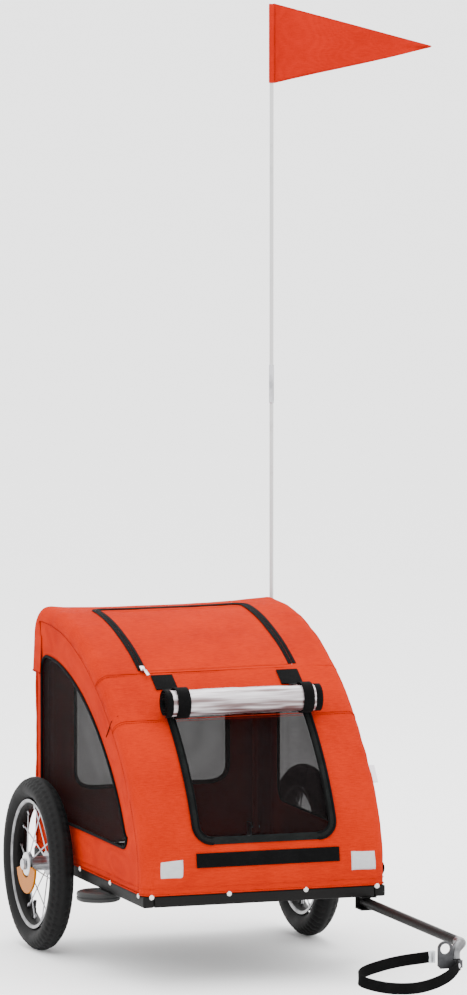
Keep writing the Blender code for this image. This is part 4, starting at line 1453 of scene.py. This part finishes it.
@dataclass
class Trim:
    """What is sewn or pressed on: hook band, reflectors, press studs and the blank label."""

    shop: Workshop
    outline: Outline
    studs_front: tuple[float, ...] = (-0.209, -0.066, 0.076, 0.208)
    studs_side: tuple[float, ...] = (-0.288, -0.130, 0.041, 0.150)

    def hook_band(self) -> None:
        """The hook band that holds the rain cover when it is down."""
        out = self.outline
        s = (out.front_at(0.2385) + out.front_at(0.2135)) / 2
        path = [out.on(s, -0.126 + 0.264 * step / 24, 0.0018) for step in range(25)]
        self.shop.band(
            "front_hook_band", path, [out.outward(s)] * 25, 0.0255, 0.0016, self.shop.finishes.tape, Body.CABIN,
            "webbing", replaces=("hook_band",),
        )

    def reflectors(self) -> None:
        """A sewn-on reflector at each lower front corner, with its rim."""
        out = self.outline
        for side, middle in ((Side.RIGHT, -0.1725), (Side.LEFT, 0.1830)):
            rows = []
            for row in range(9):
                s = 0.0285 + 0.0335 * row / 8
                edge = 0.0008 if row in (0, 8) else 0.0022
                rows.append(
                    [
                        out.on(s, middle - 0.0225 + 0.045 * step / 10, edge if 0 < step < 10 else 0.0008)
                        for step in range(11)
                    ]
                )
            self.shop.grid(
                f"front_lens_{side.tag}", rows, self.shop.finishes.silver_lens, Body.CABIN, "reflector",
                replaces=(f"front_reflector_{side.tag}",), wall=0.0010,
            )

    def stud(self, name: str, place: Vector, axis: Vector) -> None:
        """One press stud: a domed cap on a thin flange."""
        section = [
            (0.0001, 0.0), (0.0043, 0.0), (0.0046, 0.0005), (0.0042, 0.0014), (0.0031, 0.0023), (0.0016, 0.0028),
            (0.0001, 0.0030),
        ]
        self.shop.turned(name, section, place, axis, 24, self.shop.finishes.stud, Body.CABIN, "mast_white")

    def studs(self) -> None:
        """The press studs along the foot of the cover."""
        out, height = self.outline, 0.1660
        for number, x in enumerate(self.studs_front):
            self.stud(f"front_stud_{number}", Vector((x, -out.half_length - 0.0004, height)), Vector((0, -1, 0)))
            self.stud(f"rear_stud_{number}", Vector((x, out.half_length + 0.0004, height)), Vector((0, 1, 0)))
        for side in Side:
            for number, y in enumerate(self.studs_side):
                place = Vector((side.value * (out.half_width + 0.0004), y, height))
                self.stud(f"side_stud_{side.tag}_{number}", place, Vector((side.value, 0, 0)))

    def label(self) -> None:
        """The blank label that stands out of the left side seam."""
        out = self.outline
        low, high = out.front_at(0.350), out.front_at(0.378)
        rows = []
        for row in range(9):
            place = out.at(low + (high - low) * row / 8) - out.outward(low) * 0.021
            rows.append([
                Vector(
                    (
                        out.half_width - 0.004 + 0.017 * step / 6,
                        place.y - 0.0012 * math.sin(step * 0.7 + row * 0.2), place.z,
                    )
                )
                for step in range(7)
            ])
        self.shop.grid("blank_label", rows, self.shop.finishes.label, Body.CABIN, "mast_white", wall=0.0005)

    def side_details(self) -> None:
        """The dart above each side window and the short loop at the left lower front corner."""
        out = self.outline
        spots = ((-0.1440, 0.4640), (-0.1370, 0.4530), (-0.1290, 0.4430), (-0.1190, 0.4320), (-0.1090, 0.4220))
        for side in Side:
            path = [Vector((side.value * (out.side_at(y, z) + 0.0010), y, z)) for y, z in spots]
            self.shop.cord(
                f"side_dart_{side.tag}", path, 0.0009, self.shop.finishes.tape, Body.CABIN, "cover_orange", sides=6,
            )
        reach = out.half_width + 0.0016
        loop = [
            Vector((reach + 0.0035 * math.sin(math.pi * step / 8), -0.286, 0.183 + 0.021 * step / 8))
            for step in range(9)
        ]
        self.shop.band(
            "side_loop", loop, [Vector((1, 0, 0))] * 9, 0.012, 0.0014, self.shop.finishes.tape, Body.CABIN, "webbing",
        )

    def build(self) -> None:
        """Makes the trim."""
        self.hook_band()
        self.reflectors()
        self.studs()
        self.label()
        self.side_details()


@dataclass
class BaseFrame:
    """The rails, with rounded edges, and the deflector discs under them."""

    shop: Workshop

    def rails(self) -> None:
        """Each rail as a rolled tube with rounded edges."""
        for node in ("side_rail_left", "side_rail_right", "front_rail", "rear_rail", "axle_tube"):
            low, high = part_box(node)
            self.shop.rounded(
                f"{node}_tube", low - MIDDLE, high - MIDDLE, 0.0030, self.shop.finishes.powder, Body.CABIN,
                "frame_black", replaces=(node,),
            )

    def discs(self) -> None:
        """The deflector discs: rounded rims, a groove round the edge and a raised middle."""
        for side in Side:
            low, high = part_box(f"deflector_disc_{side.tag}")
            centre, radius, tall = (low + high) / 2 - MIDDLE, (high.x - low.x) / 2, high.z - low.z
            half = tall / 2
            section = [
                (0.0001, -half + 0.001), (
                    radius * 0.30, -half + 0.001,
                ), (radius * 0.34, -half), (radius - 0.004, -half),
                (
                    radius - 0.001, -half + 0.0015,
                ), (radius, -half + 0.004), (radius, -0.0016), (radius - 0.0016, -0.0008),
                (radius - 0.0016, 0.0008), (radius, 0.0016), (radius, half - 0.004), (radius - 0.001, half - 0.0015),
                (radius - 0.004, half), (radius * 0.62, half), (
                    radius * 0.58, half - 0.0012,
                ), (0.0001, half - 0.0012),
            ]
            self.shop.turned(
                f"disc_{side.tag}", section, centre, Vector((0, 0, 1)), 72, self.shop.finishes.dark, Body.CABIN,
                "dark_plastic", replaces=(f"deflector_disc_{side.tag}",),
            )

    def build(self) -> None:
        """Makes the base."""
        self.rails()
        self.discs()


@dataclass
class Wheel:
    """One wheel: treaded tyre, double-walled rim, nipples, hub cap and axle nut."""

    shop: Workshop
    side: Side
    tread: int = 64

    def __post_init__(self) -> None:
        """Reads the wheel's sizes from the frame."""
        low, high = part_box(f"tyre_{self.side.tag}")
        self.centre = (low + high) / 2 - MIDDLE
        self.radius = (high.z - low.z) / 2
        self.half = (high.x - low.x) / 2
        self.axis = Vector((self.side.value, 0, 0))
        self.body = Body[f"WHEEL_{self.side.name}"]
        rim_low, rim_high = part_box(f"rim_{self.side.tag}")
        self.rim = (rim_high.z - rim_low.z) / 2

    def tyre(self) -> None:
        """The tyre, with a block tread cut across its crown and ribs on its walls."""
        tall = (self.radius - self.rim) / 2 + 0.0005
        middle = self.radius - tall
        size = 36
        section = []
        for spot in range(size):
            turn = 2 * math.pi * spot / size
            fullness = 1.0 + 0.05 * math.cos(4 * turn)
            section.append((middle + tall * math.cos(turn), self.half * math.sin(turn) * min(1.0, fullness)))

        def relief(angle: float, spot: int) -> float:
            """The tread's blocks and grooves."""
            from_crown = min(spot, size - spot)
            if from_crown > 7:
                return 0.0
            wave = math.sin(angle * self.tread + (0.9 if spot % 4 < 2 else -0.9) * (spot < size / 2))
            groove = -0.0016 if from_crown in (2, 5) else 0.0
            return groove - (0.0014 if wave > 0.35 and from_crown > 1 else 0.0)

        self.shop.turned(
            f"tyre_tread_{self.side.tag}", section, self.centre, self.axis, self.tread * 6, self.shop.finishes.tyre,
            self.body, "tyre_rubber", relief=relief, replaces=(f"tyre_{self.side.tag}",), crease=60,
        )

    def rim_and_spokes(self) -> None:
        """The rim's section, the spoke nipples and the valve."""
        low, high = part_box(f"rim_{self.side.tag}")
        half, inner = (high.x - low.x) / 2, self.rim - 0.0120
        section = [
            (inner, -0.0045), (inner + 0.0012, -0.0080), (
                inner + 0.0050, -half + 0.0022,
            ), (inner + 0.0062, -half + 0.0004),
            (self.rim - 0.0006, -half), (self.rim, -half + 0.0012), (
                self.rim - 0.0010, -half + 0.0028,
            ), (self.rim - 0.0055, -0.0070),
            (self.rim - 0.0060, 0.0), (self.rim - 0.0055, 0.0070), (
                self.rim - 0.0010, half - 0.0028,
            ), (self.rim, half - 0.0012),
            (self.rim - 0.0006, half), (
                inner + 0.0062, half - 0.0004,
            ), (inner + 0.0050, half - 0.0022), (inner + 0.0012, 0.0080),
            (inner, 0.0045),
        ]
        made = self.shop.turned(
            f"wheel_rim_{self.side.tag}", section, self.centre, self.axis, 96, self.shop.finishes.chrome, self.body,
            "zinc",
            replaces=(f"rim_{self.side.tag}",),
        )
        # The rim's inner face takes the black powder coat: a painted dark reflection where the chrome mirrors its dark
        # surroundings.
        made.data.materials.append(self.shop.finishes.powder)
        for face in made.data.polygons:
            spot = face.center - MIDDLE - self.centre
            if math.hypot(spot.y, spot.z) < inner + 0.0045:
                face.material_index = 1
        nipple = [(0.0001, 0.0), (0.0022, 0.0), (0.0024, 0.0040), (0.0017, 0.0085), (0.0001, 0.0090)]
        for number in range(16):
            angle = 2 * math.pi * (number + 0.5) / 16
            out = Vector((0, math.sin(angle), math.cos(angle)))
            self.shop.turned(
                f"nipple_{self.side.tag}_{number}", nipple, self.centre + out * (inner + 0.0006), -out, 10,
                self.shop.finishes.zinc, self.body, "zinc",
            )
        valve = [
            (0.0001, 0.0), (0.0036, 0.0), (0.0036, 0.018), (0.0026, 0.020), (0.0026, 0.027), (0.0030, 0.0275),
            (0.0030, 0.033), (0.0001, 0.034),
        ]
        out = Vector((0, 0.26, -0.966)).normalized()
        self.shop.turned(
            f"valve_{self.side.tag}", valve, self.centre + out * (inner + 0.001), -out, 16, self.shop.finishes.joint,
            self.body, "tyre_rubber",
        )

    def hub(self) -> None:
        """The dust cap on the hub's outer end, its rings and the nut."""
        low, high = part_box(f"hub_{self.side.tag}")
        reach = (high.x - low.x) / 2
        end = self.centre + self.axis * (reach + 0.0002)
        cap = [
            (0.0080, 0.0), (0.0205, 0.0), (0.0210, 0.0010), (0.0200, 0.0022), (0.0165, 0.0028), (0.0110, 0.0026),
            (0.0090, 0.0020), (0.0080, 0.0012),
        ]
        self.shop.turned(
            f"hub_cap_{self.side.tag}", cap, end, self.axis, 48, self.shop.finishes.cap, self.body, "zinc",
        )
        nut_low, nut_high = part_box(f"axle_nut_{self.side.tag}")
        thick = nut_high.x - nut_low.x
        base = Vector(
            (min(nut_low.x, nut_high.x, key=lambda x: abs(x - MIDDLE.x)) - MIDDLE.x, self.centre.y, self.centre.z)
        )
        dome = [
            (0.0001, 0.0), (0.0088, 0.0), (0.0100, 0.0008), (0.0100, 0.0050), (0.0085, 0.0062),
            (0.0050, thick - 0.0006), (0.0001, thick),
        ]
        self.shop.turned(
            f"dome_nut_{self.side.tag}", dome, base, self.axis, 32, self.shop.finishes.zinc, Body.CABIN, "zinc",
            replaces=(f"axle_nut_{self.side.tag}",),
        )

    def build(self) -> None:
        """Makes the wheel."""
        self.tyre()
        self.rim_and_spokes()
        self.hub()


def curve_through(route: Sequence[Sequence[float]], steps: int) -> list[Vector]:
    """Points on a smooth curve through a route."""
    points = [Vector(point) for point in route]
    padded = [2 * points[0] - points[1]] + points + [2 * points[-1] - points[-2]]
    found = []
    for a, b, c, d in zip(padded, padded[1:], padded[2:], padded[3:]):
        for step in range(steps):
            t = step / steps
            found.append(
                0.5 * (2 * b + (c - a) * t + (2 * a - 5 * b + 4 * c - d) * t * t + (3 * b - a - 3 * c + d) * t**3)
            )
    found.append(points[-1])
    return found


@dataclass
class TowArm:
    """The tow arm with its elbow, rubber joint, the bolt at the hitch plate, safety strap and buckle."""

    shop: Workshop
    radius: float = 0.0088
    strap_width: float = 0.020
    strap_thick: float = 0.0019
    strap_route: tuple[tuple[float, float, float], ...] = (
        (0.177, -0.8178, 0.1095), (0.171, -0.8240, 0.100), (0.153, -0.8320, 0.088), (0.125, -0.8380, 0.078),
        (0.090, -0.8390, 0.072), (0.050, -0.8340, 0.073), (0.018, -0.8220, 0.079), (0.002, -0.8050, 0.086),
        (0.011, -0.7890, 0.094), (0.040, -0.7780, 0.101), (0.084, -0.7710, 0.108), (0.140, -0.7700, 0.113),
    )

    def __post_init__(self) -> None:
        """Reads the arm's place from the frame."""
        _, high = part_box("tow_arm")
        self.x = high.x - MIDDLE.x - 0.009
        self.rear = high.y - MIDDLE.y
        joint_low, joint_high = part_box("hitch_connector")
        self.joint = (joint_low + joint_high) / 2 - MIDDLE
        self.joint_top = joint_high.z
        self.joint_low = joint_low.z

    def arm(self) -> None:
        """The straight tube and the elbow that turns down to the joint."""
        rear = Vector((self.x, self.rear, 0.1345))
        knee = Vector((self.x, -0.313, 0.1345))
        start = Vector((self.x, -0.765, 0.1365))
        straight = (
            [rear.lerp(knee, step / 10) for step in range(11)]
            + [knee.lerp(start, step / 30) for step in range(1, 31)]
        )
        self.shop.cord(
            "arm_tube", straight, self.radius, self.shop.finishes.powder, Body.ARM, "frame_black", sides=32,
            replaces=("tow_arm",),
        )
        tip = Vector((self.joint.x, self.joint.y, 0.1220))
        b = Vector((self.x, -0.806, 0.1395))
        c = Vector((self.joint.x, self.joint.y - 0.001, 0.1365))
        bend = []
        for step in range(25):
            t = step / 24
            s = 1 - t
            bend.append(start * s**3 + b * (3 * s * s * t) + c * (3 * s * t * t) + tip * t**3)
        bend.append(Vector((self.joint.x, self.joint.y, self.joint_top + 0.0003)))
        self.shop.cord(
            "arm_elbow", bend, self.radius + 0.0002, self.shop.finishes.elbow, Body.ARM, "frame_black", sides=32,
        )

    def joint_piece(self) -> None:
        """The ribbed rubber joint and the bolt through it."""
        top, low = self.joint_top - self.joint.z, self.joint_low - self.joint.z
        section = [(0.0001, low)]
        for rib in range(4):
            base = low + (top - low) * rib / 4
            tall = (top - low) / 4
            section += [
                (0.0096, base + tall * 0.05), (0.0105, base + tall * 0.25), (0.0105, base + tall * 0.7),
                (0.0092, base + tall * 0.95),
            ]
        section.append((0.0001, top))
        self.shop.turned(
            "rubber_joint", section, self.joint, Vector((0, 0, 1)), 36, self.shop.finishes.joint, Body.COUPLER,
            "joint_rubber", replaces=("hitch_connector",),
        )
        bolt = [(0.0001, 0.0), (0.0046, 0.0), (0.0050, 0.0006), (0.0050, 0.0030), (0.0038, 0.0040), (0.0001, 0.0042)]
        place = Vector((self.joint.x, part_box("hitch_plate")[0].y - MIDDLE.y, 0.103))
        self.shop.turned(
            "plate_bolt", bolt, place, Vector((0, -1, 0)), 6, self.shop.finishes.zinc, Body.COUPLER, "zinc",
            smooth=False,
        )

    def strap(self) -> None:
        """The safety strap, a free band on edge, and its buckle."""
        path = curve_through(self.strap_route, 10)
        half, thick = self.strap_width / 2, self.strap_thick / 2

        def ring(_: int, point: Vector, first: Vector, second: Vector) -> list[Vector]:
            """The strap's section at a point."""
            shape = [
                (-1.0, 0.4), (-0.94, 1.0), (0.94, 1.0), (1.0, 0.4), (1.0, -0.4), (0.94, -1.0), (-0.94, -1.0),
                (-1.0, -0.4),
            ]
            return [point + first * half * up + second * thick * out for up, out in shape]

        made = self.shop.swept(
            "safety_strap_webbing", path, ring, self.shop.finishes.tape, Body.COUPLER, "webbing", up=Vector((0, 0, 1)),
            replaces=("safety_strap",),
        )
        low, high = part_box("strap_buckle")
        low, high = low - MIDDLE, high - MIDDLE
        shell = self.shop.rounded(
            "strap_buckle_body", low, high, 0.0018, self.shop.finishes.clear, Body.COUPLER, "buckle_clear", replaces=(
                "strap_buckle",
            ),
        )
        bar = [Vector(((low.x + high.x) / 2 - 0.001, low.y - 0.0012, z)) for z in (low.z + 0.003, high.z - 0.003)]
        latch = self.shop.cord(
            "buckle_bar", bar, 0.0014, self.shop.finishes.zinc, Body.COUPLER, "zinc", up=Vector((1, 0, 0)),
        )
        length = sum((b - a).length for a, b in zip(path, path[1:]))
        path[0] + MIDDLE
        [point + MIDDLE for point in path]

    def build(self) -> None:
        """Makes the arm and what hangs on it."""
        self.arm()
        self.joint_piece()
        self.strap()


@dataclass
class Flag:
    """The jointed mast, its sleeve and the pennant."""

    shop: Workshop
    radius: float = 0.0036

    def __post_init__(self) -> None:
        """Reads the mast's place from the frame."""
        low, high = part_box("mast")
        self.foot = Vector(((low.x + high.x) / 2, (low.y + high.y) / 2, low.z)) - MIDDLE
        self.top = high.z
        self.flag_low, self.flag_high = (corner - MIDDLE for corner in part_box("pennant"))

    def mast(self) -> None:
        """One rod, the ferrule at its joint and the top cap."""
        head = Vector((self.foot.x, self.foot.y, self.top - 0.004))
        steps = [self.foot.lerp(head, step / 40) for step in range(41)]
        self.shop.cord(
            "mast_rod", steps, self.radius, self.shop.finishes.rod, Body.FLAG, "mast_white", sides=20,
            replaces=("mast",),
        )
        ferrule = [
            (0.0036, -0.035), (0.0044, -0.034), (0.0046, -0.030), (0.0046, 0.030), (0.0044, 0.034), (0.0036, 0.035),
        ]
        joint = Vector((self.foot.x, self.foot.y, 0.985))
        self.shop.turned(
            "mast_ferrule", ferrule, joint, Vector((0, 0, 1)), 28, self.shop.finishes.zinc, Body.FLAG, "zinc",
        )
        cap = [(0.0001, 0.0), (0.0040, 0.0), (0.0041, 0.004), (0.0036, 0.0075), (0.0020, 0.0092), (0.0001, 0.0098)]
        self.shop.turned(
            "mast_cap", cap, Vector((self.foot.x, self.foot.y, self.top - 0.0098)), Vector((0, 0, 1)), 20,
            self.shop.finishes.rod, Body.FLAG, "mast_white",
        )

    def ripple(self, share: float, level: float) -> float:
        """How far the pennant's cloth swings out of its plane."""
        return (
            0.0075 * share * math.sin(2.6 * math.pi * share + 1.1 * level)
            + 0.004 * noise.noise(Vector((share * 3, level * 2, 5.0)))
        )

    def pennant(self) -> None:
        """The pennant's cloth, its sleeve round the mast and its hems."""
        low, high = self.flag_low, self.flag_high
        tip_z = low.z + (high.z - low.z) * 0.40
        rows, width = [], high.x - low.x
        for row in range(61):
            share = row / 60 * 0.988
            x = low.x + width * share
            bottom, top = low.z + (tip_z - low.z) * share, high.z + (tip_z - high.z) * share
            rows.append([
                Vector((x, self.foot.y + self.ripple(share, level / 20), bottom + (top - bottom) * level / 20))
                for level in range(21)
            ])
        made = self.shop.grid(
            "pennant_cloth", rows, self.shop.finishes.pennant, Body.FLAG, "pennant_orange", replaces=("pennant",),
            wall=0.0006,
        )
        sleeve = [
            (0.0040, low.z), (0.0048, low.z), (0.0050, low.z + 0.001), (0.0050, high.z - 0.001), (0.0048, high.z),
            (0.0040, high.z),
        ]
        base = Vector((self.foot.x, self.foot.y, 0))
        self.shop.turned(
            "pennant_sleeve", sleeve, base, Vector((0, 0, 1)), 24, self.shop.finishes.pennant, Body.FLAG,
            "pennant_orange",
        )
        for name, level in (("lower", 0), ("upper", 20)):
            line = [row[level] for row in rows]
            self.shop.cord(
                f"pennant_{name}_hem", line, 0.0010, self.shop.finishes.pennant, Body.FLAG, "pennant_orange", sides=6,
                up=Vector((0, 1, 0)),
            )

    def build(self) -> None:
        """Makes the flag."""
        self.mast()
        self.pennant()


@dataclass
class Studio:
    """The floor, the lights and the camera."""

    turn: float = -18.83
    rise: float = 6.857
    distance: float = 20.0
    lens: float = 408.67
    aim: tuple[float, float, float] = (0.0487, 0.0, 0.8233)

    def floor(self) -> None:
        """A wide pale floor."""
        mesh = bpy.data.meshes.new("studio_floor")
        reach = 40.0
        corners = [(-reach, -reach, 0), (reach, -reach, 0), (reach, reach, 0), (-reach, reach, 0)]
        mesh.from_pydata([Vector(corner) + MIDDLE for corner in corners], [], [(0, 1, 2, 3)])
        made = bpy.data.objects.new("studio_floor", mesh)
        bpy.context.scene.collection.objects.link(made)
        paint = Paint("pale_floor")
        tone = paint.mix(paint.grain(0.8), (0.93, 0.93, 0.93), (0.96, 0.96, 0.96))
        mesh.materials.append(paint.dress(Base_Color=tone, Roughness=0.85, Specular_IOR_Level=0.1))

    def lamp(self, name: str, place: tuple[float, float, float], size: float, power: float) -> None:
        """One soft square light that looks at the trailer."""
        data = bpy.data.lights.new(name, "AREA")
        data.size = size
        data.energy = power
        made = bpy.data.objects.new(name, data)
        bpy.context.scene.collection.objects.link(made)
        made.location = Vector(place) + MIDDLE
        look = Vector((0, 0, 0.45)) + MIDDLE - made.location
        made.rotation_euler = look.to_track_quat("-Z", "Y").to_euler()

    def lights(self) -> None:
        """A large key above, fill from both sides and an even sky."""
        self.lamp("key", (-1.2, -2.6, 3.8), 2.4, 50.0)
        self.lamp("fill", (3.2, -2.8, 1.8), 2.6, 14.0)
        self.lamp("top", (0.2, 0.8, 4.0), 3.0, 150.0)
        world = bpy.data.worlds.new("studio_sky")
        bpy.context.scene.world = world
        world.use_nodes = True
        sky = world.node_tree.nodes["Background"]
        sky.inputs["Color"].default_value = (1.0, 1.0, 1.0, 1.0)
        sky.inputs["Strength"].default_value = 3.0

    def camera(self) -> None:
        """A long lens from a little right of the nose and above it."""
        data = bpy.data.cameras.new("camera")
        data.sensor_width = 36.0
        data.lens = self.lens
        data.clip_end = 200.0
        made = bpy.data.objects.new("camera", data)
        bpy.context.scene.collection.objects.link(made)
        turn, rise = math.radians(self.turn), math.radians(self.rise)
        back = Vector((math.sin(turn) * math.cos(rise), -math.cos(turn) * math.cos(rise), math.sin(rise)))
        aim = Vector(self.aim) + MIDDLE
        made.location = aim + back * self.distance
        made.rotation_euler = (-back).to_track_quat("-Z", "Y").to_euler()
        bpy.context.scene.camera = made

    def build(self) -> None:
        """Sets the studio up."""
        self.floor()
        self.lights()
        self.camera()


def dress_nodes(nodes: dict[str, bpy.types.Object], finishes: Finishes) -> None:
    """Gives each carried-over CAD node the finish of its kind.

    Args:
        nodes: the CAD nodes by name.
        finishes: the trailer's materials.
    """
    kinds: dict[str, bpy.types.Material] = {
        "floor_panel": finishes.lining, "front_bow": finishes.sleeve, "rear_bow": finishes.sleeve,
        "arm_clevis": finishes.powder, "mast_socket": finishes.powder, "hub": finishes.zinc,
        "stub_axle": finishes.zinc, "front_bow_bracket": finishes.zinc, "rear_bow_bracket": finishes.zinc,
        "hitch_plate": finishes.steel, "spoke_reflector": finishes.amber_lens,
    }
    for name, node in nodes.items():
        kind = name.removesuffix("_left").removesuffix("_right")
        if kind not in kinds or node.hide_render:
            continue
        node.data.materials.clear()
        node.data.materials.append(kinds[kind])
        node.data.shade_smooth()
        node.data.set_sharp_from_angle(angle=math.radians(40))
        LOG.info("%s dressed", name)


def main() -> None:
    """Builds the studio and every sub-assembly in order."""
    logging.basicConfig(level=logging.INFO, format="%(message)s")
    Studio().build()
    finishes = Finishes()
    shop = Workshop(finishes)
    TowArm(shop).build()
    outline = Outline()
    cover = Cover(shop, outline)
    cover.build()
    Hatch(shop, cover).build()
    RainRoll(shop, outline).build()
    Trim(shop, outline).build()
    BaseFrame(shop).build()
    for side in Side:
        Wheel(shop, side).build()
    Flag(shop).build()
    dress_nodes(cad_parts, finishes)
    LOG.info("%d pieces", shop.count)


if __name__ == "__main__":
    main()
